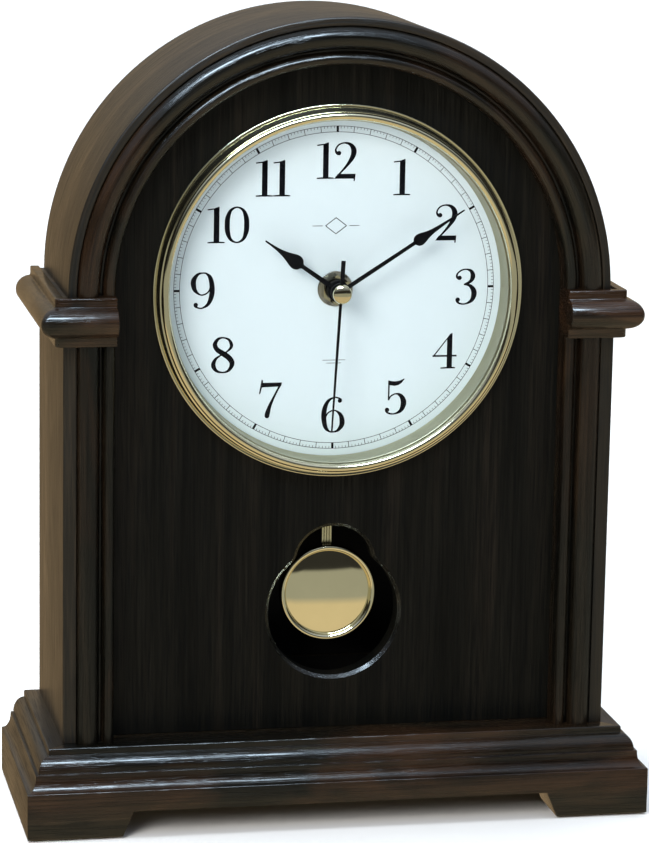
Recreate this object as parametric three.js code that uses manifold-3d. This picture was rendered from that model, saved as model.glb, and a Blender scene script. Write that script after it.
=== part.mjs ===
// Mantel clock with a round-arched case, a quartz pendulum movement and a hinged back door.
// Millimetres. +X to the clock's right as seen from the front, +Z up, and the front faces -Y.
// The origin is at the middle of the footprint, on the surface the clock stands on.
import * as THREE from "three";
import { mergeVertices } from "three/addons/utils/BufferGeometryUtils.js";
import Module from "manifold-3d";

const wasm = await Module();
wasm.setup();

// ---------------------------------------------------------------- driving sizes
const gap = 0.3; // left between pieces that are glued, pressed or screwed together
const slack = 0.6; // between fixed and moving pieces

// base
const baseWidth = 251;
const baseTopZ = 35;
const padProud = 0.8; // how far the felt pads lift the wood
const padThickness = 1.8;
const padRadius = 8;
const padInset = 13; // from the outer faces of the base to a pad's centre
const skirtTopZ = 19.5;
const mouldingStep = 9.3; // from the skirt's face in to the upright edge of the top
const mouldingWidth = 25;
const footHalfSpan = 88; // half the clear span between the front feet, at the floor
const footSplay = 4.3;
const archwayHeight = 10.2; // height of the cut-out between the front feet
const backRailThickness = 12;
const baseBoardThickness = 10;

// case
const totalHeight = 320;
const shelfWidth = 6.4; // width of the base's top that shows beside the case
const frontShelf = 6.7; // and before it
const caseDepth = 79.5;
const archStep = 1.9; // the arch is this much narrower than the sides, on each side
const sideEdge = 5.3; // thickness of the sides where they frame the mouldings
const wall = 9; // thickness of the sides and of the arch behind the front panel
const panelSetback = 9.5; // from the front edge of the case back to the front panel
const panelThickness = 9;
const reedWidth = 8.7;
const reedProud = 3.5;
const grooveWidth = 1.2;
const beadWidth = 4.8;
const beadProud = 1.5;
const mouldingSeat = 1.5; // from the case's front edge back to the foot of the reed and the bead

// capitals
const capitalHeight = 19;
const capitalRise = 1; // the capital's top above the spring line of the arch
const capitalFillet = 3.7; // height and projection of the upper and lower fillets
const rollProud = 5.9; // how far the half-round stands out of the fillets
const capitalLead = 1.7; // how far the capital's front line lies ahead of the case's edge

// dial, bezel and hands
const bezelMargin = 15.6; // from the arch moulding's inner edge to the bezel
const bezelWidth = 2.7; // radial width of the bezel's outer cone
const bezelRise = 6.7;
const bezelRing = 3.2; // radial width of the bezel's front ring
const dialSetback = 8; // from the front panel's face back to the dial
const dialThickness = 1;
const lensSeat = 1.2; // from the bezel's front back to the lens's edge
const washerRadius = 7.1;
const washerThickness = 0.8;
const nutAcross = 6; // from the middle of the nut to its corners
const nutThickness = 2.6;
const trackMargin = 4.5; // from the dial's edge to the outside of the minute track
const lensThickness = 1.6;
const lensDome = 8;
const hourReach = 28.4; // from the tip of the hour hand out to the minute track
const minuteReach = 5.4;
const secondReach = 8.6;
const handThickness = 0.5;
const pressFit = 0.1; // round a shaft, in the bore of what is pressed on it
const secondTail = 13;
const capRadius = 3.8;
const capThickness = 2.5;
const hourHandLift = 7.2; // from the dial out to the hour hand
const handStep = 2.8; // from each hand to the next
const hour = 10;
const minute = 9;
const second = 30.5;

// movement
const shellDepth = 18.4;
const shellWall = 1.5;
const trainTop = 18; // from the hand axis up to the battery bay
const batteryRadius = 7.1;
const batteryLength = 49;
const bayRelief = 2.1; // from the floor of the battery bay out to the cell
const contactSpace = 2; // at each end of the cell, for its nub and contact
const contactThickness = 0.35;
const shellDrop = 62; // from the hand axis down to the bottom of the movement
const bushingRadius = 4;
const hourTubeRadius = 2.5;
const minuteTubeRadius = 1.5;
const secondArborRadius = 0.6;
const arborRadius = 0.6;
const knobRadius = 7.5;
const pivotPinRadius = 0.9;
const wheelThickness = 0.8;
const knobThickness = 3.2;
const plateDrop = 16; // from the hand axis down to the foot of the middle plate
const rotorRadius = 2.8;
const rotorLength = 2.2;
const statorHalf = 9.5;
const yokeWidth = 2.6;
const ironThickness = 0.8;
const motorCoilRadius = 2.9;
const boardThickness = 1;
const runningGap = 0.25; // between an arbor and the bore that turns on it

// pendulum
const pivotDrop = 42; // from the hand axis down to the pendulum's pivot
const pendulumLength = 82.4; // from the pivot to the middle of the bob
const bobRadius = 19.7;
const bobThickness = 4.5;
const rodWidth = 4.3;
const rodThickness = 0.8;
const hangerHalf = 2.2; // half the width of the pendulum's hanger
const hangerDepth = 2;
const magnetRise = 7; // from the floor of the movement up to the hanger's magnet
const driveCoilRadius = 6;
const driveCoilLength = 4;
const apertureMargin = 6.7; // the aperture's lower circle is this much larger than the bob
const apertureDrop = 5; // from the middle of the bob down to the aperture's lower circle
const throatRadius = 15.7;
const throatRise = 19.4; // from the lower circle's middle to the throat's
const throatFillet = 6;

// back
const doorThickness = 4;
const doorRecess = 4;
const frameWidth = 12;
const hingeHeight = 22;
const leafWidth = 9;
const leafThickness = 0.8;
const knuckleRadius = 1.7;
const pinRadius = 0.7;
const catchDepth = 8;

// ---------------------------------------------------------------- places worked out from them
const baseDepth = caseDepth + mouldingStep + frontShelf;
const backY = baseDepth / 2;
const frontY = -baseDepth / 2;
const caseFrontY = backY - caseDepth;
const panelFrontY = caseFrontY + panelSetback;
const panelBackY = panelFrontY + panelThickness;
const skirtHalf = baseWidth / 2;
const topHalf = skirtHalf - mouldingStep;
const caseHalf = topHalf - shelfWidth;
const archRadius = caseHalf - archStep;
const springZ = totalHeight - archRadius;
const linerRadius = caseHalf - sideEdge - gap; // outside of the front mouldings and the front panel
const mouldingInner = linerRadius - reedWidth - grooveWidth - beadWidth;
const hollowHalf = caseHalf - wall;
const hollowRadius = archRadius - wall;
const caseFootZ = baseTopZ + gap;

const capitalTopZ = springZ + capitalRise;
const capitalFootZ = capitalTopZ - capitalHeight;

const axisZ = springZ - 0.3; // the hands' axis, at the middle of the arch
const bezelRadius = mouldingInner - bezelMargin;
const bezelFrontY = panelFrontY - bezelRise;
const dialHole = bezelRadius - bezelWidth - 1.2;
const dialRadius = dialHole - 1;
const dialY = panelFrontY + dialSetback;
const trackRadius = dialRadius - trackMargin;
const shellHalfWidth = batteryLength / 2 + contactSpace + shellWall;
const shellFrontY = dialY + dialThickness + 1;
const shellBackY = shellFrontY + shellDepth;
const shellSplitY = shellFrontY + shellDepth * 0.53;
const shellBottomZ = axisZ - shellDrop;
const bayBottomZ = axisZ + trainTop + shellWall;
const bayTopZ = bayBottomZ + 2 * (batteryRadius + slack);
const shellTopZ = bayTopZ + shellWall;

const pivotZ = axisZ - pivotDrop;
const bobZ = pivotZ - pendulumLength;
const rodY = shellFrontY + 7.6;
const apertureZ = bobZ - apertureDrop;
const apertureRadius = bobRadius + apertureMargin;

const frameBackY = backY - doorRecess;
const frameHalf = hollowHalf - gap;
const doorHalf = frameHalf - frameWidth - gap;
const doorRadius = hollowRadius - gap - frameWidth - gap;
const doorFootZ = caseFootZ + frameWidth + gap;
const hingeX = -doorHalf - gap / 2;
const hingeY = frameBackY + knuckleRadius + 0.1;
const hingeZs = [doorFootZ + 28, springZ - 24];
const pullZ = (doorFootZ + springZ) / 2;

// ---------------------------------------------------------------- finishes
const finish = (color, roughness, metalness = 0) => ({ color, roughness, metalness });
const ebonised = finish(0x1b1714, 0.38);
const blackBoard = finish(0x121110, 0.8);
const gold = finish(0xd9c68c, 0.16, 1);
const nickel = finish(0xb9bbb8, 0.25, 1);
const steel = finish(0x9a9c9e, 0.35, 1);
const copper = finish(0xa4542a, 0.4, 1);
const blackMetal = finish(0x0b0b0c, 0.45, 0.2);
const dialWhite = finish(0xe6eaf2, 0.6);
const glass = finish(0xffffff, 0.03);
const blackPlastic = finish(0x17181a, 0.5);
const whitePlastic = finish(0xe9e7df, 0.45);
const boardGreen = finish(0x1d5a35, 0.55);
const felt = finish(0x1f3d2a, 1);
const batteryBlue = finish(0x2c4f8f, 0.35, 0.3);

const archSides = 56; // facets in a full turn of the arch

// ---------------------------------------------------------------- solids
function toSolid(geometry) {
  const bare = geometry.index ? geometry.toNonIndexed() : geometry.clone();
  bare.deleteAttribute("normal");
  bare.deleteAttribute("uv");
  const merged = mergeVertices(bare, 1e-4);
  const made = new wasm.Manifold(
    new wasm.Mesh({
      numProp: 3,
      vertProperties: merged.attributes.position.array,
      triVerts: new Uint32Array(merged.index.array),
    }),
  );
  if (made.volume() > 0) return made;
  const turned = new Uint32Array(merged.index.array);
  for (let i = 0; i < turned.length; i += 3) {
    [turned[i + 1], turned[i + 2]] = [turned[i + 2], turned[i + 1]];
  }
  return new wasm.Manifold(
    new wasm.Mesh({
      numProp: 3,
      vertProperties: merged.attributes.position.array,
      triVerts: turned,
    }),
  );
}

function toGeometry(solid) {
  const mesh = solid.getMesh();
  const points = new Float32Array(mesh.numVert * 3);
  for (let i = 0; i < mesh.numVert; i++) {
    points.set(mesh.vertProperties.subarray(i * mesh.numProp, i * mesh.numProp + 3), i * 3);
  }
  const geometry = new THREE.BufferGeometry();
  geometry.setAttribute("position", new THREE.BufferAttribute(points, 3));
  geometry.setIndex(new THREE.BufferAttribute(mesh.triVerts, 1));
  geometry.computeVertexNormals();
  return geometry;
}

// A block between two opposite corners.
function block(x0, x1, y0, y1, z0, z1) {
  const geometry = new THREE.BoxGeometry(x1 - x0, y1 - y0, z1 - z0);
  geometry.translate((x0 + x1) / 2, (y0 + y1) / 2, (z0 + z1) / 2);
  return toSolid(geometry);
}

// A round bar along Y.
function barY(x, z, radius, y0, y1, sides = 24) {
  const geometry = new THREE.CylinderGeometry(radius, radius, y1 - y0, sides);
  geometry.translate(x, (y0 + y1) / 2, z);
  return toSolid(geometry);
}

function barZ(x, y, radius, z0, z1, sides = 16) {
  const geometry = new THREE.CylinderGeometry(radius, radius, z1 - z0, sides);
  geometry.rotateX(Math.PI / 2);
  geometry.translate(x, y, (z0 + z1) / 2);
  return toSolid(geometry);
}

function barX(y, z, radius, x0, x1, sides = 20) {
  const geometry = new THREE.CylinderGeometry(radius, radius, x1 - x0, sides);
  geometry.rotateZ(Math.PI / 2);
  geometry.translate((x0 + x1) / 2, y, z);
  return toSolid(geometry);
}

function tubeY(x, z, outer, inner, y0, y1, sides = 24) {
  return barY(x, z, outer, y0, y1, sides).subtract(barY(x, z, inner, y0 - 1, y1 + 1, sides));
}

// A ring turned about a line along Y through (0, z). The section is a list of [radius, y].
function turned(section, z, sides = 40) {
  const outline = section.map(([r, y]) => new THREE.Vector2(r, y));
  const closed = section[0][0] > 0 ? [...outline, outline[0].clone()] : outline;
  const geometry = new THREE.LatheGeometry(closed, sides);
  geometry.translate(0, 0, z);
  return toSolid(geometry);
}

// An outline drawn in x and z, given thickness from y0 to y1.
function plate(shape, y0, y1, curveSegments = 12) {
  const geometry = new THREE.ExtrudeGeometry(shape, {
    depth: y1 - y0,
    bevelEnabled: false,
    curveSegments,
  });
  geometry.rotateX(Math.PI / 2);
  geometry.translate(0, y1, 0);
  return toSolid(geometry);
}

function polygon(points) {
  return new THREE.Shape(points.map(([a, b]) => new THREE.Vector2(a, b)));
}

// The outline of an arched board that stands on z = foot and springs at z = spring.
function archedShape(half, radius, foot, spring) {
  const shape = new THREE.Shape();
  shape.moveTo(-half, foot);
  shape.lineTo(half, foot);
  shape.lineTo(half, spring);
  shape.lineTo(radius, spring);
  shape.absarc(0, spring, radius, 0, Math.PI, false);
  shape.lineTo(-half, spring);
  shape.closePath();
  return shape;
}

function arc(cx, cy, rx, ry, from, to, steps) {
  const points = [];
  for (let i = 0; i <= steps; i++) {
    const a = THREE.MathUtils.degToRad(from + ((to - from) * i) / steps);
    points.push([cx + rx * Math.cos(a), cy + ry * Math.sin(a)]);
  }
  return points;
}

const clock = new THREE.Group();

function add(name, solid, look) {
  const mesh = new THREE.Mesh(toGeometry(solid), new THREE.MeshStandardMaterial(look));
  mesh.name = name;
  clock.add(mesh);
}

// A run of moulding. The section is [outward, z], outward from the line it runs along, and the
// ends are mitred by mitreStart and mitreEnd times the outward distance. It runs along +X with
// outward towards -Y, and is then turned about Z and moved.
function mouldingRun(section, length, mitreStart, mitreEnd, turn, x, y) {
  const geometry = new THREE.ExtrudeGeometry(polygon(section), {
    depth: length,
    bevelEnabled: false,
  });
  const position = geometry.attributes.position;
  for (let i = 0; i < position.count; i++) {
    const outward = position.getX(i);
    const along = position.getZ(i);
    const shift = along > length / 2 ? mitreEnd * outward : -mitreStart * outward;
    position.setXYZ(i, along + shift, -outward, position.getY(i));
  }
  geometry.rotateZ(turn);
  geometry.translate(x, y, 0);
  return toSolid(geometry);
}

// ---------------------------------------------------------------- base
// Section of the base moulding, outward from the upright edge of the top.
function baseSection() {
  const filletZ = baseTopZ - 2.8;
  const beadFootZ = baseTopZ - 9;
  const coveTopZ = beadFootZ - 0.7;
  const beadOut = mouldingStep * 0.48;
  const coveOut = mouldingStep * 0.6;
  return [
    [mouldingStep - mouldingWidth, padProud],
    [mouldingStep, padProud],
    [mouldingStep, skirtTopZ],
    ...arc(mouldingStep, coveTopZ, mouldingStep - coveOut, coveTopZ - skirtTopZ, 270, 180, 5),
    [coveOut, beadFootZ],
    [beadOut, beadFootZ],
    ...arc(0, beadFootZ, beadOut, filletZ - beadFootZ, 10, 90, 5),
    [0, baseTopZ],
    [mouldingStep - mouldingWidth, baseTopZ],
  ];
}

const padPlaces = [
  ["front_left", -1, -1],
  ["front_right", 1, -1],
  ["back_left", -1, 1],
  ["back_right", 1, 1],
];

function padCentre(sx, sy) {
  return [sx * (skirtHalf - padInset), sy * (backY - padInset)];
}

function withoutPads(solid) {
  let left = solid;
  for (const [, sx, sy] of padPlaces) {
    const [x, y] = padCentre(sx, sy);
    left = left.subtract(barZ(x, y, padRadius + gap, 0, padThickness + gap));
  }
  return left;
}

function makeBase() {
  const section = baseSection();
  const mitre = 1;
  const runLength = 2 * (topHalf - gap);
  const frontRun = mouldingRun(section, runLength, mitre, mitre, 0, gap - topHalf, frontY + mouldingStep);
  const floorCut = polygon([
    [-footHalfSpan, -1],
    [footHalfSpan, -1],
    [footHalfSpan, padProud],
    [footHalfSpan - footSplay, padProud + archwayHeight],
    [footSplay - footHalfSpan, padProud + archwayHeight],
    [-footHalfSpan, padProud],
  ]);
  const archway = plate(floorCut, frontY - 1, frontY + mouldingWidth + 1);
  add("base_front_moulding", withoutPads(frontRun.subtract(archway)), ebonised);

  const sideLength = baseDepth - mouldingStep;
  const right = mouldingRun(section, sideLength, mitre, 0, Math.PI / 2, topHalf, backY - sideLength);
  add("base_right_moulding", withoutPads(right), ebonised);
  const left = mouldingRun(section, sideLength, 0, mitre, -Math.PI / 2, -topHalf, backY);
  add("base_left_moulding", withoutPads(left), ebonised);

  const railHalf = skirtHalf - mouldingWidth - gap;
  const railFootZ = padProud + archwayHeight;
  const railFrontY = backY - backRailThickness;
  add("base_back_rail", block(-railHalf, railHalf, railFrontY, backY, railFootZ, baseTopZ), ebonised);
  const boardFrontY = frontY + mouldingWidth + gap;
  const boardFootZ = baseTopZ - baseBoardThickness;
  add(
    "base_board",
    block(-railHalf, railHalf, boardFrontY, railFrontY - gap, boardFootZ, baseTopZ),
    ebonised,
  );
  for (const [place, sx, sy] of padPlaces) {
    const [x, y] = padCentre(sx, sy);
    add("felt_pad_" + place, barZ(x, y, padRadius, 0, padThickness), felt);
  }
}

// ---------------------------------------------------------------- case
function makeSides() {
  const rebateY = panelBackY + gap;
  for (const [name, s] of [["left", -1], ["right", 1]]) {
    const plan = [
      [s * caseHalf, caseFrontY],
      [s * caseHalf, backY],
      [s * hollowHalf, backY],
      [s * hollowHalf, rebateY],
      [s * (linerRadius + gap), rebateY],
      [s * (linerRadius + gap), caseFrontY],
    ];
    const geometry = new THREE.ExtrudeGeometry(polygon(plan), {
      depth: springZ - gap - caseFootZ,
      bevelEnabled: false,
    });
    geometry.translate(0, 0, caseFootZ);
    add(name + "_side_panel", toSolid(geometry), ebonised);
  }
  const section = [
    [archRadius, caseFrontY],
    [archRadius, backY],
    [hollowRadius, backY],
    [hollowRadius, rebateY],
    [linerRadius + gap, rebateY],
    [linerRadius + gap, caseFrontY],
  ];
  const upper = block(-baseWidth, baseWidth, frontY, backY, springZ, totalHeight + 1);
  add("arch_shell", turned(section, springZ, archSides).intersect(upper), ebonised);
}

// Section of the pilasters and of the arch moulding: [distance from the middle, y].
function reedSection() {
  const backPlane = panelFrontY - gap;
  const root = caseFrontY + mouldingSeat;
  const reedInner = linerRadius - reedWidth;
  const beadOuter = reedInner - grooveWidth;
  const reedRise = root - (caseFrontY - reedProud);
  const beadRise = root - (caseFrontY - beadProud);
  return [
    [mouldingInner, backPlane],
    [linerRadius, backPlane],
    [linerRadius, root],
    ...arc(linerRadius - reedWidth / 2, root, reedWidth / 2, -reedRise, 12, 168, 6),
    [reedInner, root],
    [reedInner, root + 1],
    [beadOuter, root + 1],
    ...arc(beadOuter - beadWidth / 2, root, beadWidth / 2, -beadRise, 10, 170, 5),
    [mouldingInner, root],
  ];
}

function makeFrontMouldings() {
  const section = reedSection();
  for (const [name, s] of [["left", -1], ["right", 1]]) {
    const plan = section.map(([x, y]) => [s * x, y]);
    const geometry = new THREE.ExtrudeGeometry(polygon(plan), {
      depth: capitalFootZ - gap - caseFootZ,
      bevelEnabled: false,
    });
    geometry.translate(0, 0, caseFootZ);
    add(name + "_pilaster", toSolid(geometry), ebonised);
  }
  const above = block(-baseWidth, baseWidth, 2 * frontY, backY, capitalTopZ + gap, totalHeight + 1);
  add("arch_moulding", turned(section, springZ, archSides).intersect(above), ebonised);
}

// Section of a capital, outward from the side of the case.
function capitalSection(inner) {
  const rollTopZ = capitalTopZ - capitalFillet;
  const rollFootZ = capitalFootZ + capitalFillet;
  const rollZ = (rollTopZ + rollFootZ) / 2;
  return [
    [inner, capitalFootZ],
    [capitalFillet, capitalFootZ],
    [capitalFillet, rollFootZ],
    ...arc(capitalFillet, rollZ, rollProud, (rollTopZ - rollFootZ) / 2, -84, 84, 8),
    [capitalFillet, rollTopZ],
    [capitalFillet, capitalTopZ],
    [inner, capitalTopZ],
  ];
}

function makeCapitals() {
  const frontLine = caseFrontY - capitalLead;
  const overlap = 0.02; // the two arms of a capital share this much at the mitre
  const frontLength = caseHalf - mouldingInner;
  const sideLength = backY - frontLine;
  const backing = [
    [linerRadius, frontLine],
    [linerRadius, panelFrontY - gap],
    [mouldingInner, panelFrontY - gap],
    [mouldingInner, frontLine],
  ];
  for (const [name, s] of [["left", -1], ["right", 1]]) {
    const mitres = s < 0 ? [1, 0] : [0, 1];
    const startX = s < 0 ? -caseHalf - overlap : mouldingInner;
    const run = frontLength + overlap;
    const nose = mouldingRun(capitalSection(0), run, ...mitres, 0, startX, frontLine);
    const geometry = new THREE.ExtrudeGeometry(polygon(backing.map(([x, y]) => [s * x, y])), {
      depth: capitalHeight,
      bevelEnabled: false,
    });
    geometry.translate(0, 0, capitalFootZ);
    const section = capitalSection(gap);
    const turn = (s * Math.PI) / 2;
    const side = s > 0
      ? mouldingRun(section, sideLength, 1, 0, turn, caseHalf, frontLine)
      : mouldingRun(section, sideLength, 0, 1, turn, -caseHalf, backY);
    add(name + "_capital", nose.add(toSolid(geometry)).add(side), ebonised);
  }
}

// The pendulum's aperture: a large circle and a smaller one above it, joined by small fillets.
function apertureShape() {
  const reach = apertureRadius + throatFillet;
  const throatReach = throatRadius + throatFillet;
  const up = (throatRise ** 2 + reach ** 2 - throatReach ** 2) / (2 * throatRise);
  const side = Math.sqrt(reach ** 2 - up ** 2);
  const lower = Math.atan2(up, side);
  const upper = Math.atan2(up - throatRise, side);
  const throatZ = apertureZ + throatRise;
  const shape = new THREE.Shape();
  shape.absarc(0, throatZ, throatRadius, upper, Math.PI - upper, false);
  shape.absarc(-side, apertureZ + up, throatFillet, -upper, -lower, true);
  shape.absarc(0, apertureZ, apertureRadius, Math.PI - lower, 2 * Math.PI + lower, false);
  shape.absarc(side, apertureZ + up, throatFillet, Math.PI + lower, Math.PI + upper, true);
  return shape;
}

function makeFrontPanel() {
  const outline = archedShape(linerRadius, linerRadius, caseFootZ, springZ);
  const board = plate(outline, panelFrontY, panelBackY, 24);
  const aperture = plate(apertureShape(), panelFrontY - 1, panelBackY + 1, 12);
  const hole = barY(0, axisZ, dialHole + gap, panelFrontY - 1, panelBackY + 1, 40);
  add("front_panel", board.subtract(aperture).subtract(hole), ebonised);
}

// ---------------------------------------------------------------- dial and bezel
function makeDial() {
  const seatY = panelFrontY - gap;
  const coneTop = bezelRadius - bezelWidth;
  const ringInner = coneTop - bezelRing;
  const wallRadius = ringInner + 0.9;
  const bezelSection = [
    [dialHole, dialY - gap],
    [dialHole, seatY],
    [bezelRadius, seatY],
    [bezelRadius, seatY - 0.8],
    [bezelRadius - 0.8, seatY - 1],
    [coneTop, bezelFrontY + 1.1],
    [coneTop - 0.6, bezelFrontY + 0.2],
    [coneTop - bezelRing / 2, bezelFrontY],
    [ringInner + 0.3, bezelFrontY + 0.3],
    [ringInner, bezelFrontY + 1.1],
    [wallRadius, bezelFrontY + lensSeat],
    [wallRadius, dialY - gap],
  ];
  add("bezel", turned(bezelSection, axisZ), gold);

  const lensRadius = wallRadius - gap;
  const lensFrontY = bezelFrontY + lensSeat + gap;
  const sphere = (lensRadius ** 2 + lensDome ** 2) / (2 * lensDome);
  const half = THREE.MathUtils.radToDeg(Math.asin(lensRadius / sphere));
  const front = arc(0, lensFrontY - lensDome + sphere, sphere, -sphere, 90, 90 - half, 4);
  const inside = front.map(([r, y]) => [r, y + lensThickness]).reverse();
  front[0][0] = 0;
  inside[inside.length - 1][0] = 0;
  add("lens", turned([...front, ...inside], axisZ, 32), glass);

  const ringTopY = lensFrontY + lensThickness + gap;
  const ringFootY = dialY - gap;
  const rehaut = [
    [wallRadius - gap, ringFootY],
    [wallRadius - gap, ringTopY],
    [wallRadius - gap - 0.8, ringTopY],
    [dialRadius - 1.9, ringFootY],
  ];
  add("dial_surround", turned(rehaut, axisZ), gold);

  const dialPlate = tubeY(0, axisZ, dialRadius, bushingRadius + gap, dialY, dialY + dialThickness, 40);
  add("dial_plate", dialPlate, dialWhite);
}

// ---------------------------------------------------------------- hands
// Angles are clockwise from twelve, as seen from the front.
const turnOf = (degrees) => THREE.MathUtils.degToRad(degrees);
const secondAngle = second * 6;
const minuteAngle = (minute + second / 60) * 6;
const hourAngle = (hour + minute / 60 + second / 3600) * 30;

const hourHandY = dialY - hourHandLift;
const minuteHandY = hourHandY - handStep;
const secondHandY = minuteHandY - handStep;

// An outline given as half widths at distances from the axis, turned to a dial angle.
function handShape(stations, angle) {
  const right = stations.map(([reach, half]) => [half, reach]);
  const left = stations.map(([reach, half]) => [-half, reach]).reverse();
  const sin = Math.sin(turnOf(angle));
  const cos = Math.cos(turnOf(angle));
  const points = [...right, ...left]
    .filter(([w], i, all) => w !== 0 || i === 0 || all[i - 1][0] !== 0)
    .map(([w, r]) => [w * cos + r * sin, axisZ + r * cos - w * sin]);
  return polygon(points);
}

function spadeHand(tip, bulbAt, bulbHalf, armHalf, hubRadius, bore, angle, y) {
  const stations = [
    [0, armHalf],
    [bulbAt - 2.6 * bulbHalf, armHalf * 0.8],
    [bulbAt - 1.2 * bulbHalf, bulbHalf * 0.55],
    [bulbAt - 0.35 * bulbHalf, bulbHalf],
    [bulbAt + 0.7 * bulbHalf, bulbHalf * 0.75],
    [bulbAt + 2.2 * bulbHalf, armHalf * 0.6],
    [tip, 0.15],
  ];
  const blade = plate(handShape(stations, angle), y, y + handThickness);
  const hub = barY(0, axisZ, hubRadius, y, y + handThickness + 0.5);
  return blade.add(hub).subtract(barY(0, axisZ, bore, y - 1, y + 3));
}

function makeHands() {
  const hourTip = trackRadius - hourReach;
  const minuteTip = trackRadius - minuteReach;
  const secondTip = trackRadius - secondReach;
  add(
    "hour_hand",
    spadeHand(hourTip, hourTip * 0.59, 2.85, 0.8, 4.4, hourTubeRadius + pressFit, hourAngle, hourHandY),
    blackMetal,
  );
  const minuteBore = minuteTubeRadius + pressFit;
  add(
    "minute_hand",
    spadeHand(minuteTip, minuteTip * 0.64, 2.35, 0.7, 3.6, minuteBore, minuteAngle, minuteHandY),
    blackMetal,
  );
  const sweep = handShape([[-secondTail, 0.9], [0, 0.7], [secondTip, 0.3]], secondAngle);
  const sweepHand = plate(sweep, secondHandY, secondHandY + handThickness)
    .add(barY(0, axisZ, 1.6, secondHandY - 0.8, secondHandY + handThickness + 0.4, 16))
    .subtract(barY(0, axisZ, secondArborRadius + 0.08, secondHandY - 2, secondHandY + 3, 16));
  add("second_hand", sweepHand, blackMetal);
  const capBackY = secondHandY - 0.8 - gap;
  const cap = [
    [0, capBackY],
    [capRadius, capBackY],
    ...arc(0, capBackY - capThickness / 2, capRadius, -capThickness / 2, 0, 90, 4),
  ];
  add("second_hand_cap", turned(cap, axisZ, 24), gold);
}

// ---------------------------------------------------------------- wheels
// Teeth are narrow and pointed, so a wheel and its pinion mesh with plenty of play.
function gearSolid(teeth, module, bore, y0, y1, x, z, phase = 0) {
  const pitch = (teeth * module) / 2;
  const tip = pitch + 0.8 * module;
  const root = pitch - 1.15 * module;
  const step = (2 * Math.PI) / teeth;
  const points = [];
  for (let i = 0; i < teeth; i++) {
    const a = i * step + phase;
    for (const [r, share] of [[root, -0.26], [tip, -0.07], [tip, 0.07], [root, 0.26]]) {
      points.push([x + r * Math.sin(a + share * step), z + r * Math.cos(a + share * step)]);
    }
  }
  const gear = plate(polygon(points), y0, y1);
  return bore > 0 ? gear.subtract(barY(x, z, bore, y0 - 1, y1 + 1, 12)) : gear;
}

// Tooth counts. The seconds arbor drives the third wheel, and that the centre wheel, 60 to 1.
// The cannon pinion drives the minute wheel, and that the hour wheel, 12 to 1.
const teeth = {
  rotorPinion: 6,
  stepWheel: 36,
  stepPinion: 6,
  secondsWheel: 30,
  secondsPinion: 6,
  thirdWheel: 45,
  thirdPinion: 6,
  centreWheel: 48,
  cannonPinion: 8,
  minuteWheel: 24,
  minutePinion: 8,
  hourWheel: 32,
};

// Distances between arbors; the modules follow from them and from the tooth counts.
const minuteWheelDistance = 11.2;
const thirdDistance = 10.2;
const stepDistance = 7.2;
const rotorDistance = 7.4;
const moduleOf = (distance, a, b) => (2 * distance) / (a + b);

// Arbor positions round the hand axis, as angles clockwise from twelve.
const placed = (distance, degrees, fromX = 0, fromZ = axisZ) => [
  fromX + distance * Math.sin(turnOf(degrees)),
  fromZ + distance * Math.cos(turnOf(degrees)),
];
const settingAt = placed(minuteWheelDistance, 180);
const thirdAt = placed(thirdDistance, 35);
const stepAt = placed(stepDistance, 285);
const rotorAt = placed(rotorDistance, 315, ...stepAt);

// The turn that puts a tooth gap of a wheel opposite a tooth of its partner, on the line between
// their arbors. A tooth of the partner, itself turned by partnerPhase, points along the line.
function meshPhase(count, partnerCount, partnerPhase, lineDegrees) {
  const line = turnOf(lineDegrees);
  const partnerStep = (2 * Math.PI) / partnerCount;
  const offset = (line - partnerPhase) / partnerStep;
  const ahead = offset - Math.floor(offset);
  const step = (2 * Math.PI) / count;
  return line + Math.PI + step / 2 + ahead * step;
}

const layer = (depth) => shellFrontY + shellWall + depth;
const hourWheelY = layer(0.5);
const minuteWheelY = layer(2);
const centreWheelY = layer(3.6);
const thirdWheelY = layer(5.2);
const middlePlateY = layer(6.6);
const secondsWheelY = layer(8);
const stepWheelY = layer(9.6);
const rotorY = layer(11);

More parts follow.
